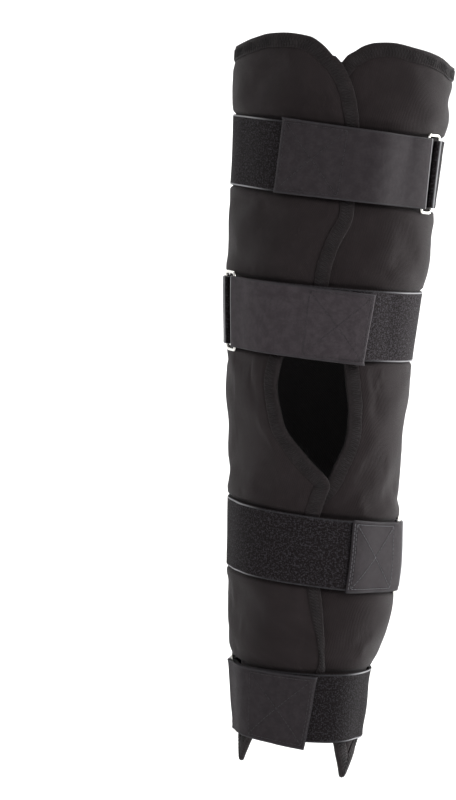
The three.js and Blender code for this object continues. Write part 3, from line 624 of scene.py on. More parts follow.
class Outline:
    """The wrap's outline at even steps, with the direction inwards, smoothed over 4 mm either way, and
    the binding's width, which shrinks towards the two tips."""

    def __init__(self, wrap, spacing):
        worn = self.worn = wrap.worn
        line = wrap.outline()
        line = np.concatenate([line, line[:1]])
        place = worn.wrap(line[:, 0], line[:, 1], 0)
        length = running(np.linalg.norm(np.diff(place, axis=0), axis=1))
        self.length = total = length[-1]
        self.count = int(round(total / spacing))
        self.distance = total * np.arange(self.count) / self.count
        self.angle, self.z = (np.interp(self.distance, length, column) for column in line.T)
        self.radius = worn.radius(self.z)
        flat = wrap.unrolled(self.angle, self.z)
        along = unit(np.roll(flat, -1, axis=0) - np.roll(flat, 1, axis=0))
        reach = max(1, int(0.004 / spacing))
        along = unit(sum(np.roll(along, k, axis=0) for k in range(-reach, reach + 1)))
        self.inward = np.stack([-along[:, 1], along[:, 0]], axis=-1)
        low = 10 * (line[:, 1] > -0.2)
        tips = [length[np.argmin(np.abs(line[:, 0] - cut) + low)] for cut in worn.cut]
        away = [np.abs((self.distance - tip + total / 2) % total - total / 2) for tip in tips]
        self.width = np.minimum(worn.s.binding_width, 0.0045 + 0.35 * np.min(away, axis=0))

    def place(self, inset, out):
        """A point in from the outline by inset and off the padding by out. Both have one row for each
        step, and inset may have a column for each point of a section."""
        extra = (slice(None),) + (None,) * (inset.ndim - 1)
        inward, radius = self.inward, self.radius[extra]
        return self.worn.wrap(
            self.angle[extra] + inward[:, 0][extra] * inset / radius,
            self.z[extra] + inward[:, 1][extra] * inset,
            out,
        )


def binding_profile(wall, share):
    """The tape's section as (inset, out) points: over the outer face, round the edge and under the
    inner face, then back inside. share is each station's width against the full one. The last result
    is the number of points that show."""
    crown, face, skin = 0.0006, 0.0004, -0.0004
    over = [(9.8, skin), (10.0, 0.0001), (9.7, face), (8.6, crown - 0.0001), (6.5, crown), (4.0, crown),
            (2.0, crown), (0.4, face), (-0.9, 0.0002), (-1.6, -0.0010), (-1.75, -wall / 2)]
    under = [(inset, -wall - out) for inset, out in over[-2::-1]]
    back = [(9.0, -wall + 0.0005), (4, -wall - skin), (-0.6, -wall - skin),
            (-0.7, -wall / 2), (-0.6, skin), (4, skin), (9.0, skin - 0.0001)]
    profile = np.array(over + under + back) * (MM, 1)
    inset = np.where(profile[:, 0] > 0, profile[:, 0] * share[:, None], profile[:, 0])
    return inset, np.broadcast_to(profile[:, 1], inset.shape), len(over + under)


def make_binding(s, look, thread):
    """The edge binding, a channel section carried round the outline, drawn in a little at every
    stitch, with a zigzag seam through both of its faces."""
    wrap = Wrap(Worn(s))
    line = Outline(wrap, 0.0019)
    station = line.distance * TURN
    share = line.width / 0.010
    share = share * (1 + 0.012 * np.cos(station / s.zigzag / 3) + 0.02 * np.sin(station / (line.length / 61)))
    inset, out, shown = binding_profile(s.wall, share)
    level = out + s.wall / 2
    puff = 0.00016 * np.sin(station / (line.length / 97))[:, None] * (np.abs(level) > s.wall / 2)
    out = out + puff * np.sign(level)
    points = line.place(inset, out)
    i = np.arange(inset.size).reshape(inset.shape)
    there = np.roll(i, -1, axis=0)
    faces = quads(i, there, np.roll(there, -1, axis=1), np.roll(i, -1, axis=1))
    across = running(np.hypot(np.diff(inset[0]), np.diff(out[0])))
    uv = stacked(line.distance[:, None], across).reshape(-1, 2)
    piece = finished("binding_tape", points.reshape(-1, 3), faces, look, uv)
    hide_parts("edge_binding")
    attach(piece, "root")

    stitches = int(round(line.length / s.zigzag))
    fine = Outline(wrap, line.length / (6 * stitches))
    step = np.arange(fine.count)
    swing = 0.5 - 0.5 * np.cos(step * TURN / 6)
    inset = lerp(0.0014, fine.width - 0.0013, swing)
    off = 0.00068 + 0.00010 * np.sin(step * math.pi / 3) ** 2
    centres = np.stack([fine.place(inset, off), fine.place(inset, -s.wall - off)])
    above = np.stack([fine.place(inset, off + MM), fine.place(inset, -s.wall - off - MM)])
    vertices, faces = tubes(centres, unit(above - centres), 0.00026, 5, closed=True)
    seam = finished("zigzag_seam", vertices, faces, thread)
    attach(seam, "root")
    inset, out, _ = binding_profile(s.wall, np.ones(1))


# ---------------------------------------------------------------- straps


class Band:
    """A band along the leg: stations of angle, height, turn, dip, slope and spread, by distance from
    its last end. Its sections stand square to its slope, and spread makes them broader."""

    def __init__(self, worn, strap, stations, towards, width, thickness):
        self.worn, self.strap, self.towards = worn, strap, towards
        self.width, self.thickness = width, thickness
        self.stations = np.array(stations, float).T
        self.angle, _, self.turn = self.stations[:3]
        self.distance = running(np.linalg.norm(np.diff(self.point(self.stations, 0.0, 0.0), axis=0), axis=1))
        self.length = self.distance[-1]

    def point(self, stations, across, shift):
        """The middle line's point moved across by a distance and off it by shift, along the direction
        that turns over in the fold."""
        angle, out, turn, dip, slope, spread = stations
        across = across * (1 + spread)
        at = angle - (self.towards * shift * np.sin(turn) + slope * across) / self.strap["radius"]
        z = self.worn.middle(self.strap, at) + across - dip
        return self.worn.skin(at + self.worn.lean(self.strap, at, across), z, out + shift * np.cos(turn))

    def at(self, back, across, shift):
        """A point at a distance back from the free end."""
        where = self.length - back
        return self.point([np.interp(where, self.distance, v) for v in self.stations], across, shift)


def spaced(strap, start, end, spacing):
    """Angles from start to end at about even steps along the leg."""
    count = max(2, int(abs(end - start) * strap["radius"] / spacing))
    return np.linspace(start, end, count + 1)


def tail_lie(strap, angle, dip, start, end):
    """How a tail lies: its share of the way from start to end, its dip, which grows with the square of
    that share, and its rise per length along the leg. The rise is the dip's slope and the strap's
    tilt, which is full from 25 mm past the ring."""
    share = (start - angle) / (start - end)
    away = np.abs(angle - start) * strap["radius"]
    tilt = math.tan(math.radians(strap["tilt"])) * np.cos(angle) * smoothstep(away, 0, 0.025)
    return share, dip * share**2, tilt + 2 * dip * share / ((start - end) * strap["radius"])


def folded_band(worn, strap, start, bar, back, width, thickness, gap, ease, dip, spread=0.0):
    """A band that comes along the leg under a bar, folds round it in a half circle and goes back on
    top of itself. Beside the bar it eases down to where it lies."""
    bar_angle, bar_out = bar
    radius = strap["radius"]
    towards = math.copysign(1, bar_angle - start)
    fold = worn.s.wire_radius + LAYER_GAP + thickness / 2
    under = spaced(strap, start, bar_angle, 0.0024)
    rest = worn.seat(strap, under) + thickness / 2
    level = lerp(bar_out - fold, rest, smoothstep(np.abs(bar_angle - under) * radius, 0, ease / 2))
    stations = [stacked(under, level, 0, 0, 0, 0)]
    turn = np.linspace(0, math.pi, 15)[1:-1]
    angle = bar_angle + towards * fold * np.sin(turn) / radius
    stations.append(stacked(angle, bar_out - fold * np.cos(turn), turn, 0, 0, 0))
    over = spaced(strap, bar_angle, back, 0.0013)
    rest = worn.seat(strap, over) + 1.5 * thickness + gap
    level = lerp(bar_out + fold, rest, smoothstep(np.abs(bar_angle - over) * radius, 0, ease))
    share, sink, slope = tail_lie(strap, over, dip, bar_angle, back)
    stations.append(stacked(over, level, math.pi, sink, slope, spread * share**2))
    return Band(worn, strap, np.concatenate(stations), towards, width, thickness)


def rounded(inside, radius, least):
    """A share of the thickness beside an edge that is rounded off like a quarter circle."""
    return np.sqrt(np.clip(1 - (np.clip(radius - inside, 0, None) / radius) ** 2, least, 1))


def band_piece(name, band, look, seed, hem=0.0, wave=0.00025, sewn=0.0, loop_out=False, tone=1.0):
    """A woven band: both faces are grids along and across. The section is flat with round selvages and
    a fine bead beside them, the edges wave a little, and a hemmed end is thicker. The loop face lies
    under the folded part, or on it with loop_out. Fields mark the outer edge of the fold, where the
    finish paints a highlight, and the part seen from the side, where it paints a highlight on the selvages."""
    edge = np.array([0.458, 0.474, 0.487, 0.496, 0.5])
    across = np.concatenate([-edge[::-1], np.linspace(-0.43, 0.43, 21), edge])[None] * band.width
    inside = band.width / 2 - np.abs(across)
    bead = 0.00010 * hump(inside, 0.0016, 0.0007)
    distance, turn = band.distance[:, None], band.turn[:, None]
    back = band.length - distance
    ripple = waves(back, across * 0, seed, 4, 0.018, 0.05, (-0.1, 0.1))
    shift = wave * ripple * (across / (band.width / 2)) ** 3 * smoothstep(np.sin(turn), 0.9, 0.0)
    shift = np.where(turn > 1.6, -1, 1) * shift
    hemmed = 1 + hem * smoothstep(0.006 - back, 0, 0.0012)
    thick = band.thickness / 2 * hemmed * rounded(inside, 0.0009, 0.05)
    thick = (thick + bead) * rounded(np.minimum(back, distance), 0.0008, 0.15)
    stations = band.stations[:, :, None]
    top, bottom = (band.point(stations, across, shift + way * thick) for way in (1, -1))
    vertices, faces, mark = two_faced(top, bottom)
    flat = stacked(back, across).reshape(-1, 2)
    # The fold's outer edge, where the finish paints a highlight, and the part seen from the side, where it
    # paints a highlight on the selvages.
    fields = {
        "sewn": sewn, "tone": tone, "crease": hump(turn, 2.8, 0.28) * (turn < 3.1),
        "side": smoothstep(band.towards * band.angle[:, None], -0.55, -1.05),
    }
    fields = {key: np.tile(np.broadcast_to(v, top.shape[:2]).ravel(), 2) for key, v in fields.items()}
    fields["outside"] = 1 - mark if loop_out else mark
    return finished(name, vertices, faces, look, np.concatenate([flat, flat]), fields)


def dashes(lines, pitch):
    """Stitch ends along straight lines given as (x0, y0, x1, y1): each is cut into whole stitches."""
    runs = []
    for x0, y0, x1, y1 in lines:
        count = max(1, int(round(math.hypot(x1 - x0, y1 - y0) / pitch)))
        t = (np.arange(count)[:, None] + np.array([0.07, 0.93])) / count
        runs.append(np.stack([lerp(x0, x1, t), lerp(y0, y1, t)], axis=-1))
    return np.concatenate(runs)


def stitch_piece(name, band, lines, pitch, side, look):
    """Lockstitches on a band: short threads that rise out of the cloth and dip back in."""
    ends = dashes(lines, pitch)
    path = lerp(ends[:, :1], ends[:, 1:], np.array([0, 0.12, 0.5, 0.88, 1.0])[:, None])
    lift = np.array([-0.00030, 0.00002, 0.00014, 0.00002, -0.00030])
    level = side * (band.thickness / 2 + lift)
    centre = band.at(path[..., 0], path[..., 1], level)
    above = band.at(path[..., 0], path[..., 1], level + side * MM)
    weave_hollows = 0.00030 * np.array([0.55, 0.95, 1.0, 0.95, 0.55])
    vertices, faces = tubes(centre, unit(above - centre), weave_hollows, 6, closed=False)
    piece = finished(name, vertices, faces, look)
    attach(piece, "root")
    return piece


def row_line(at, half):
    """A row of stitches straight across a band."""
    return at, -half, at, half


def box_lines(near, far, half):
    """A stitched box from near to far along the band, with its two diagonals."""
    return [
        (near, -half, far, -half), row_line(far, half), (far, half, near, half), (near, half, near, -half),
        (near, -half, far, half), (near, half, far, -half),
    ]


def make_straps(s, look, thread, bright, hook):
    """Four straps, each with a hemmed free end, a box stitched with a cross that holds the hook patch
    under it, and the patch."""
    worn = Worn(s)
    half = s.strap_width / 2 - BOX_MARGIN
    for k, strap in enumerate(STRAPS):
        name, side = strap["name"], strap["side"]
        band = folded_band(
            worn, strap, -side * math.radians(STRAP_START), worn.bars(strap)[0],
            side * math.radians(strap["tail"]), s.strap_width, s.strap_thickness,
            PATCH_THICKNESS + 2 * LAYER_GAP, TAIL_EASE, strap["dip"], strap["spread"],
        )
        piece = band_piece(f"strap_band_{name}", band, look, 30 + k, hem=0.18, sewn=strap["sewn"],
                           tone=strap["tone"])
        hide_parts(f"strap_{name}")
        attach(piece, "root")
        lines = box_lines(BOX_START, BOX_START + BOX_LENGTH, half) + [row_line(0.0016, half + MM)]
        shown = bright if strap["sewn"] == 1 else thread
        stitches = stitch_piece(f"box_seam_{name}", band, lines, s.stitch, -1, shown)
        rows = [row_line(band.length - back, half) for back in (0.004, 0.010)]
        end = stitch_piece(f"end_seam_{name}", band, rows, s.stitch, 1, thread)
        make_patch(worn, strap, hook)


def make_patch(worn, strap, look):
    """The hook patch: a thin plate that lies between the strap and its folded end."""
    side, tail = strap["side"], strap["side"] * math.radians(strap["tail"])
    thickness, height = worn.s.strap_thickness, PATCH_THICKNESS
    radius = strap["radius"] + worn.seat(strap, 0) + thickness
    start = tail + side * 0.0005 / radius
    angles = spaced(strap, start, start + side * PATCH_LENGTH / radius, 0.0018)
    out = worn.seat(strap, angles) + thickness + LAYER_GAP + height / 2
    _, dip, slope = tail_lie(strap, angles, strap["dip"], worn.bars(strap)[0][0], tail)
    band = Band(worn, strap, stacked(angles, out, 0, dip, slope, 0), side, BOX_WIDTH, height)
    piece = band_piece(f"hook_plate_{strap['name']}", band, look, 60, wave=0)
    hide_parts(f"hook_patch_{strap['name']}")
    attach(piece, "root")


def make_tabs(s, look, thread):
    """Ring tabs: a short strap folded round the ring's far bar, with both layers sewn to the wrap."""
    worn = Worn(s)
    half = s.tab_width / 2 - TAB_MARGIN
    for k, strap in enumerate(STRAPS):
        bar = worn.bars(strap)[1]
        sewn = bar[0] + strap["side"] * TAB_SEWN / strap["radius"]
        band = folded_band(worn, strap, sewn, bar, sewn, s.tab_width, TAB_THICKNESS, LAYER_GAP, TAB_EASE, 0.0)
        piece = band_piece(f"tab_band_{strap['name']}", band, look, 80 + k, wave=0.0001, loop_out=True)
        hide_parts(f"ring_tab_{strap['name']}")
        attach(piece, "root")
        lines = box_lines(*TAB_BOX, half) + [row_line(TAB_ROW, half)]
        stitches = stitch_piece(f"tab_seam_{strap['name']}", band, lines, s.stitch, -1, thread)


def make_rings(s, look):
    """Rings of round wire: two long bars straight across the leg, joined by short ends with quarter
    bends, as one closed tube."""
    worn = Worn(s)
    half = s.strap_width / 2 + RING_PLAY + s.wire_radius
    both = np.array([-1, 1])
    for strap in STRAPS:
        bars = []
        for angle, out in worn.bars(strap):
            above = both * s.strap_width * 0.45
            ends = worn.skin(angle + worn.lean(strap, angle, above), worn.middle(strap, angle) + above, out)
            along = unit(ends[1] - ends[0])
            bars.append(ends.mean(0) + both[:, None] * along * half)
        corners = np.array([bars[0][0], bars[0][1], bars[1][1], bars[1][0]])
        before, after = (
            corners + unit(np.roll(corners, way, axis=0) - corners) * RING_BEND for way in (1, -1)
        )
        t = np.linspace(0, 1, 10)[:, None, None]
        arcs = (1 - t) ** 2 * before + 2 * t * (1 - t) * corners + t**2 * after
        t = np.linspace(0, 1, 14)[1:-1, None, None]
        runs = lerp(after, np.roll(before, -1, axis=0), t)
        line = np.concatenate([arcs, runs]).transpose(1, 0, 2).reshape(-1, 3)
        square = unit(np.cross(corners[1] - corners[0], corners[3] - corners[0]))
        normals = np.broadcast_to(square, line[None].shape)
        vertices, faces = tubes(line[None], normals, s.wire_radius, s.wire_sides, closed=True)
        piece = finished(f"wire_ring_{strap['name']}", vertices, faces, look)
        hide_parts(f"ring_{strap['name']}")
        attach(piece, "root")


# ---------------------------------------------------------------- materials


class Wire:
    """A socket's value in a material. Arithmetic on it adds Math nodes."""

    def __init__(self, net, socket):
        self.net, self.socket = net, socket

    def __add__(self, other):
        return self.net.math("ADD", self, other)

    def __sub__(self, other):
        return self.net.math("SUBTRACT", self, other)

    def __rsub__(self, other):
        return self.net.math("SUBTRACT", other, self)

    def __mul__(self, other):
        return self.net.math("MULTIPLY", self, other)

    __radd__, __rmul__ = __add__, __mul__

    def __abs__(self):
        return self.net.math("ABSOLUTE", self)

    def sin(self):
        return self.net.math("SINE", self)

    def at_least(self, other):
        return self.net.math("MAXIMUM", self, other)

    def at_most(self, other):
        return self.net.math("MINIMUM", self, other)

    def above(self, low, high):
        """Rises from 0 at low to 1 at high along the smoothstep curve."""
        settings = {"interpolation_type": "SMOOTHSTEP"}
        values = {"Value": self, "From Min": low, "From Max": high}
        return self.net.node("ShaderNodeMapRange", settings, values)


SOCKETS = dict(
    base_color="Base Color", roughness="Roughness", metallic="Metallic", specular="Specular IOR Level",
    sheen="Sheen Weight", sheen_roughness="Sheen Roughness",
)


class Net:
    """A material's node tree with its Principled shader."""

    def __init__(self, name, **constants):
        self.material = bpy.data.materials.new(name)
        self.material.use_nodes = True
        self.tree = self.material.node_tree
        self.tree.nodes.clear()
        self.shader = self.tree.nodes.new("ShaderNodeBsdfPrincipled")
        self.output = self.tree.nodes.new("ShaderNodeOutputMaterial")
        self.tree.links.new(self.shader.outputs[0], self.output.inputs[0])
        self.put(self.shader, {SOCKETS[key]: value for key, value in constants.items()})

    def put(self, node, values):
        """Sets or links a node's sockets."""
        for key, value in values.items():
            socket = node.inputs[key]
            if isinstance(value, Wire):
                self.tree.links.new(value.socket, socket)
            elif socket.type == "RGBA":
                socket.default_value = (*value, 1)
            else:
                socket.default_value = value

    def node(self, kind, settings=None, values=None, output=0):
        """Adds a node: its settings come first, then its sockets' values or links."""
        node = self.tree.nodes.new(kind)
        for key, value in (settings or {}).items():
            setattr(node, key, value)
        self.put(node, values or {})
        return Wire(self, node.outputs[output])

    def math(self, operation, *values):
        return self.node("ShaderNodeMath", {"operation": operation}, dict(enumerate(values)))

    def mix(self, share, a, b, blend="MIX"):
        """A colour between a and b, or a blend of them."""
        settings = {"data_type": "RGBA", "blend_type": blend}
        return self.node("ShaderNodeMix", settings, {0: share, 6: a, 7: b}, 2)

    def noise(self, vector, scale, detail=2.0, roughness=0.5):
        values = {"Vector": vector, "Scale": scale, "Detail": detail, "Roughness": roughness}
        return self.node("ShaderNodeTexNoise", {}, values)

    def place(self):
        """The place on the object, in metres."""
        return self.node("ShaderNodeTexCoord", {}, {}, 3)

    def field(self, name):
        """A named value of the mesh's vertices."""
        return self.node("ShaderNodeAttribute", {"attribute_name": name}, {}, 2)

    def weave(self):
        """The UV map in millimetres as a vector and its two parts."""
        uv = self.node("ShaderNodeUVMap", {"uv_map": "weave"})
        scaled = self.node("ShaderNodeVectorMath", {"operation": "SCALE"}, {0: uv, "Scale": 1000.0})
        return scaled, *(self.node("ShaderNodeSeparateXYZ", {}, {0: scaled}, k) for k in (0, 1))

    def bump(self, height, distance, strength=1.0):
        values = {"Height": height, "Distance": distance, "Strength": strength}
        self.put(self.shader, {"Normal": self.node("ShaderNodeBump", {}, values)})

    def finish(self, **values):
        self.put(self.shader, {SOCKETS[key]: value for key, value in values.items()})
        return self.material


def tint(colour, factor):
    """A colour made lighter or darker by a factor."""
    return tuple(factor * x for x in colour)


def ripples(wire, pitch):
    """A sine wave along a wire's value, in the same unit as its pitch."""
    return (wire * (TURN / pitch)).sin()


def knit_look(c):
    """Fine jersey over foam: slanted wales and courses, a brushed cast that changes slowly over the
    wrap, a lighter band round the knee's height, and painted shade in the valleys. The lining is a
    plain lighter knit, part of whose lightness is painted light for the inside, which the lamps barely reach."""
    net = Net("knit_padding", sheen=0.10, sheen_roughness=0.4, specular=0.18)
    flat, u, v = net.weave()
    slant = (u * 0.94 + v * 0.34) * (TURN / 1.35)
    wales = (slant + net.noise(flat, 0.22) * 5.0).sin()
    courses = ripples(v + slant.sin() * 0.18, 0.95)
    fuzz = net.noise(flat, 2.6, 3.0, 0.6)
    cloud = net.noise(flat, 0.018, 3.0, 0.6)
    brushed = net.noise(flat, 0.11, 4.0, 0.62)
    # A lighter band round the knee's height, added to the slow cloud and brushed patches of the lighter knit.
    knee_band = abs(v - 25.0).above(120.0, 20.0)
    worn = cloud.above(0.35, 0.7) * 0.5 + brushed.above(0.42, 0.75) * 0.35 + knee_band * 0.5
    base = net.mix(net.field("outside"), c.lining, net.mix(worn, c.knit, c.knit_worn))
    # Painted shade in the valleys of the knit.
    shaded_valleys = (wales * 0.5 + courses * 0.25 + fuzz * 0.9).above(0.95, -0.15)
    base = net.mix(shaded_valleys * 0.55, base, tint(c.knit, 0.62))
    net.bump(wales * 0.5 + courses * 0.32 + fuzz * 1.1 + brushed * 0.8, 0.00011, 0.9)
    return net.finish(base_color=base, roughness=0.80 + fuzz * 0.16)


def tape_look(c):
    """Ribbed elastic tape: fine ribs along it, crossed by the pull of each stitch. A highlight is painted
    on each pull and shade in the valleys.
    """
    net = Net("ribbed_tape", sheen=0.06, sheen_roughness=0.4, specular=0.22)
    flat, u, v = net.weave()
    ribs = ripples(v, 1.1)
    cross = (u * (TURN / 0.8) + ribs * 0.7).sin()
    pull = ripples(u, 2.9)
    fuzz = net.noise(flat, 2.2, 3.0, 0.6)
    cloud = net.noise(flat, 0.08, 3.0, 0.6)
    # The cloud is the tape's own uneven tone. The lighter crest of each stitch's pull is a painted highlight.
    light = cloud.above(0.4, 0.75) * 0.5 + pull.above(0.2, 1.0) * 0.22
    # Painted shade in the valleys of the ribs.
    shaded_valleys = (ribs * 0.4 + cross * 0.3 + fuzz * 0.8).above(0.8, -0.2)
    base = net.mix(light, c.tape, tint(c.tape, 1.75))
    base = net.mix(shaded_valleys * 0.6, base, tint(c.tape, 0.5))
    net.bump(ribs * 0.4 + cross * 0.4 + pull * 0.7 + fuzz * 0.9, 0.00012, 0.9)
    return net.finish(base_color=base, roughness=0.74 + fuzz * 0.18)


def strap_look(c):
    """Loop strap: a speckled nap on one face and a smooth twill on the other, with firm lighter selvages,
    a hemmed end and grooves where the box and its cross are sewn. Painted shade lies in the grooves and
    in the low places of the nap and the twill. A painted highlight lies on the folds, on part of each
    selvage line and on the selvages seen from the side."""
    net = Net("loop_strap", sheen=0.02, sheen_roughness=0.4, specular=0.12)
    flat, u, v = net.weave()
    loop = net.field("outside")
    nap = net.noise(flat, 0.75, 3.0, 0.7)
    patchy = net.noise(flat, 0.36, 3.0, 0.65)
    speck = (nap * 0.7 + patchy * 0.35).above(0.5, 0.64)
    fleece = net.mix(speck * 0.85, c.loop, c.loop_speck)
    # Painted shade in the low places of the nap.
    fleece = net.mix(nap.above(0.48, 0.32) * 0.7, fleece, tint(c.loop, 0.35))
    twill, yarn = ripples(u + v, 0.9), ripples(u - v * 0.35, 0.62)
    slub = net.noise(flat, 0.5, 3.0, 0.6)
    cloud = net.noise(flat, 0.13, 4.0, 0.7)
    smooth = net.mix(cloud.above(0.36, 0.66) * 0.75, tint(c.webbing, 0.82), tint(c.webbing, 1.22))
    # Painted shade in the low places of the twill and its slubs.
    weave_hollows = (twill * 0.3 + yarn * 0.2 + slub * 1.3).above(0.85, 0.15)
    smooth = net.mix(weave_hollows * 0.5, smooth, tint(c.webbing, 0.5))
    base = net.mix(1.0, net.mix(loop, smooth, fleece), net.field("tone"), "MULTIPLY")

    # The grooves of the box seam lie where make_straps puts it, in millimetres: a box and its cross,
    # with x stretched so that the box becomes a square.
    half = bpy.context.scene.brace_sizes.strap_width / MM / 2
    width, height = BOX_LENGTH / MM / 2, half - BOX_MARGIN / MM
    x, y = abs(u - (BOX_START / MM + width)) * (height / width), abs(v)
    outline = abs(x.at_least(y) - height)
    diagonal = abs(x - y) * 0.72 + (x.at_least(y) - height).above(0.0, 0.5) * 9.0
    groove = outline.at_most(diagonal).above(1.3, 0.1) * net.field("sewn")
    hem = u.above(3.2, 2.5)
    firm = abs(y - (half - SELVAGE_INSET)).above(0.85, 0.25)
    # The selvage colour along each edge is lighter partly as the firm edge's own colour and partly as a
    # painted highlight. The hemmed end takes a little of it too.
    base = net.mix(firm * 0.6 + hem * 0.15, base, c.selvage)
    # Painted highlight along the outer edge of each fold.
    base = net.mix(net.field("crease").at_most(1.0) * 0.85, base, c.crease)
    # Painted highlight on the selvages where the strap turns to the side, standing in for the glint of the rim
    # lights.
    base = net.mix(firm * net.field("side") * 0.7, base, c.crease)
    # Painted shade in the grooves of the box seam, less on the loop face.
    base = net.mix(groove * 0.5 * (1 - loop * 0.6), base, tint(c.loop, 0.4))
    flat_side, loop_side = twill * 0.25 + yarn * 0.2 + slub * 0.5, nap * 1.6 + patchy * 0.7
    relief = net.node("ShaderNodeMix", {"data_type": "FLOAT"}, {0: loop, 2: flat_side, 3: loop_side})
    net.bump(relief + firm * 0.9 + hem * 0.5 - groove * 2.0, 0.00028)
    return net.finish(base_color=base, roughness=0.66 + loop * 0.22 + slub * 0.08)


def thread_look(name, shade):
    """Twisted thread: fine slanted strands."""
    net = Net(name, specular=0.3)
    place = net.place()
    strands = net.noise(place, 2600.0, 2.0)
    base = net.mix(strands.above(0.35, 0.65), tint(shade, 0.6), tint(shade, 1.35))
    net.bump(strands, 0.00006)
    return net.finish(base_color=base, roughness=0.5 + strands * 0.2)


def hook_look(c):
    """Hook tape: rows of tiny stiff hooks."""
    net = Net("hook_tape", specular=0.45)
    flat, u, v = net.weave()
    hooks = (ripples(u, 1.3) * ripples(v, 1.3)).above(-0.2, 0.9)
    grain = net.noise(flat, 1.2, 2.0)
    base = net.mix(hooks, c.hook, tint(c.hook, 2.4))
    net.bump(hooks + grain * 0.4, 0.0005)
    return net.finish(base_color=base, roughness=0.45 + grain * 0.3)


def nickel_look(c):
    """Plated wire with faint drawing lines and small dull places from wear."""
    net = Net("nickel_wire", metallic=1.0)
    place = net.place()
    dull = net.noise(place, 160.0, 4.0, 0.6)
    scratch = net.noise(place, 1400.0, 2.0)
    base = net.mix(dull.above(0.5, 0.8) * 0.5, c.nickel, tint(c.nickel, 0.72))
    net.bump(scratch, 0.00002, 0.4)
    return net.finish(base_color=base, roughness=0.13 + dull.above(0.4, 0.8) * 0.22)


def floor_look(c):
    """Matt pale paper with a very faint tooth. It is clear from behind, so it hides nothing there: its
    faces look away from the object."""
    net = Net("studio_paper", specular=0.1)
    place = net.place()
    tooth = net.noise(place, 60.0, 3.0)
    base = net.mix(tooth * 0.3, c.floor, tint(c.floor, 0.97))
    material = net.finish(base_color=base, roughness=0.95 + tooth * 0.05)
    inside = net.node("ShaderNodeNewGeometry", {}, {}, 6)
    clear = net.node("ShaderNodeBsdfTransparent")
    sheet = net.node("ShaderNodeMixShader", {}, {0: inside, 1: clear, 2: Wire(net, net.shader.outputs[0])})
    net.put(net.output, {"Surface": sheet})
    return material


# ---------------------------------------------------------------- stage


def facing(place, aim):
    """The turn of a lamp or camera that looks from a place at an aim, upright."""
    return (Vector(aim) - Vector(place)).to_track_quat("-Z", "Y")


def make_stage(c):
    """A paper sweep under and behind the object, large soft lights, and the camera of the photograph:
    three metres away, a little above the knee, pitched down and rolled so that the leg leans right."""
    wide, depth, floor, bend, height = 14.0, 3.6, -0.435, 1.1, 6.0
    turn = np.linspace(0, math.pi / 2, 25)
    y = np.concatenate([[-wide], depth - bend + bend * np.sin(turn), [depth]])
    z = np.concatenate([[floor], floor + bend * (1 - np.cos(turn)), [floor + height]])
    x = np.linspace(-wide, wide, 9)
    grid = stacked(x[None], y[:, None], z[:, None])
    sweep = finished("paper_sweep", grid.reshape(-1, 3), grid_quads(*grid.shape[:2]), floor_look(c))

    def light(name, place, aim, size, power):
        lamp = bpy.data.lights.new(name, "AREA")
        lamp.shape, lamp.size, lamp.size_y, lamp.energy = "RECTANGLE", *size, power
        holder = bpy.data.objects.new(name, lamp)
        holder.visible_camera = False
        holder.location = place
        holder.rotation_euler = facing(place, aim).to_euler()
        bpy.context.scene.collection.objects.link(holder)

    light("key", (1.5, -2.3, 1.5), (0, 0, 0.05), (1.2, 1.6), 33)
    light("fill", (-1.9, -2.0, 0.8), (0, 0, 0), (1.6, 1.8), 1.5)
    light("rim_right", (1.7, 1.0, 0.5), (0, 0, 0), (0.8, 2.2), 56)
    light("rim_left", (-1.7, 0.9, 0.5), (0, 0, 0), (0.8, 2.2), 6)
    light("backdrop", (0, 1.6, 2.4), (0, 3.6, 0.4), (5.0, 1.2), 120)

    world = bpy.data.worlds.new("soft_room")
    world.use_nodes = True
    sky = world.node_tree.nodes["Background"]
    sky.inputs[0].default_value = (1, 1, 1, 1)
    sky.inputs[1].default_value = 0.42
    scene = bpy.context.scene
    scene.world = world
    scene.view_settings.view_transform = "Standard"

    camera = bpy.data.cameras.new("photo_camera")
    camera.lens, camera.sensor_width = 167.4, 36
    holder = bpy.data.objects.new("photo_camera", camera)
    aim = Vector((-0.0726, 0, 0.0029))
    place = Vector((aim.x, -3.0, 0.226))
    roll = Matrix.Rotation(math.radians(4.08), 4, "Z")
    holder.matrix_world = Matrix.Translation(place) @ facing(place, aim).to_matrix().to_4x4() @ roll
    scene.collection.objects.link(holder)
    scene.camera = holder


# ---------------------------------------------------------------- add-on


def look(key, make):
    """A finish by name, made once."""
    return bpy.data.materials.get(key) or make(bpy.context.scene.brace_colours)


def look_of_thread(key, colour_name):
    """A thread's finish in one of the colours."""
    return look(key, lambda c: thread_look(key, getattr(c, colour_name)))


class BRACE_OT_wrap(bpy.types.Operator):
    """Builds the padded wrap"""

    bl_idname = "brace.wrap"
    bl_label = "Padded wrap"

    def execute(self, context):
        make_wrap(context.scene.brace_sizes, look("knit_padding", knit_look))
        return {"FINISHED"}


class BRACE_OT_binding(bpy.types.Operator):
    """Builds the edge binding and its zigzag seam"""

    bl_idname = "brace.binding"
    bl_label = "Edge binding"

    def execute(self, context):
        seam = look_of_thread("seam_thread", "zigzag")
        make_binding(context.scene.brace_sizes, look("ribbed_tape", tape_look), seam)
        return {"FINISHED"}


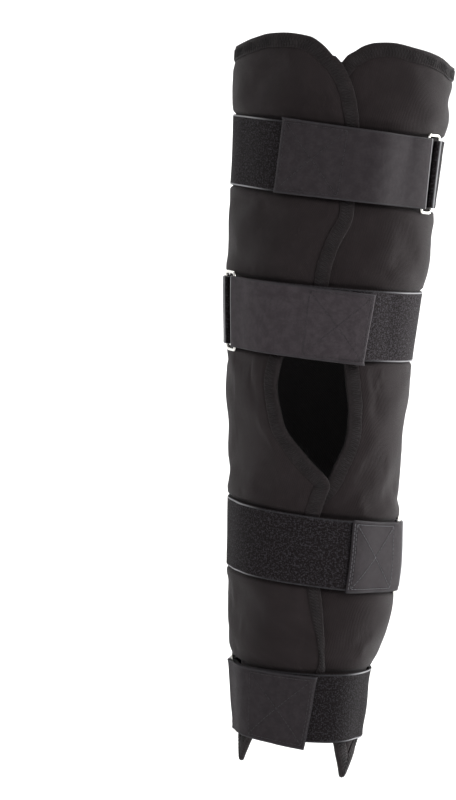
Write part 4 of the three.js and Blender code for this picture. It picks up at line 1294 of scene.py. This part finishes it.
class BRACE_OT_straps(bpy.types.Operator):
    """Builds the straps, their box seams and their hook patches"""

    bl_idname = "brace.straps"
    bl_label = "Straps"

    def execute(self, context):
        looks = (look("loop_strap", strap_look), look_of_thread("box_thread", "thread"),
                 look_of_thread("light_thread", "thread_light"), look("hook_tape", hook_look))
        make_straps(context.scene.brace_sizes, *looks)
        return {"FINISHED"}


class BRACE_OT_tabs(bpy.types.Operator):
    """Builds the tabs that hold the rings"""

    bl_idname = "brace.tabs"
    bl_label = "Ring tabs"

    def execute(self, context):
        thread = look_of_thread("box_thread", "thread")
        make_tabs(context.scene.brace_sizes, look("loop_strap", strap_look), thread)
        return {"FINISHED"}


class BRACE_OT_rings(bpy.types.Operator):
    """Builds the wire rings"""

    bl_idname = "brace.rings"
    bl_label = "Wire rings"

    def execute(self, context):
        make_rings(context.scene.brace_sizes, look("nickel_wire", nickel_look))
        return {"FINISHED"}


class BRACE_OT_stage(bpy.types.Operator):
    """Builds the floor, the lights and the camera"""

    bl_idname = "brace.stage"
    bl_label = "Stage"

    def execute(self, context):
        make_stage(context.scene.brace_colours)
        return {"FINISHED"}


STEPS = (BRACE_OT_wrap, BRACE_OT_binding, BRACE_OT_straps, BRACE_OT_tabs, BRACE_OT_rings, BRACE_OT_stage)


class BRACE_PT_panel(bpy.types.Panel):
    """Lists the steps that build the immobilizer"""

    bl_label = "Knee immobilizer"
    bl_idname = "BRACE_PT_panel"
    bl_space_type = "VIEW_3D"
    bl_region_type = "UI"
    bl_category = "Immobilizer"

    def draw(self, context):
        for step in STEPS:
            self.layout.operator(step.bl_idname)
        for group in (context.scene.brace_sizes, context.scene.brace_colours):
            for key in group.__annotations__:
                self.layout.prop(group, key)


CLASSES = (BraceSizes, BraceColours, *STEPS, BRACE_PT_panel)


def register():
    for item in CLASSES:
        bpy.utils.register_class(item)
    bpy.types.Scene.brace_sizes = PointerProperty(type=BraceSizes)
    bpy.types.Scene.brace_colours = PointerProperty(type=BraceColours)


def unregister():
    del bpy.types.Scene.brace_sizes
    del bpy.types.Scene.brace_colours
    for item in reversed(CLASSES):
        bpy.utils.unregister_class(item)


def main():
    register()
    for name in ("wrap", "binding", "straps", "tabs", "rings", "stage"):
        getattr(bpy.ops.brace, name)()


if __name__ == "__main__":
    main()
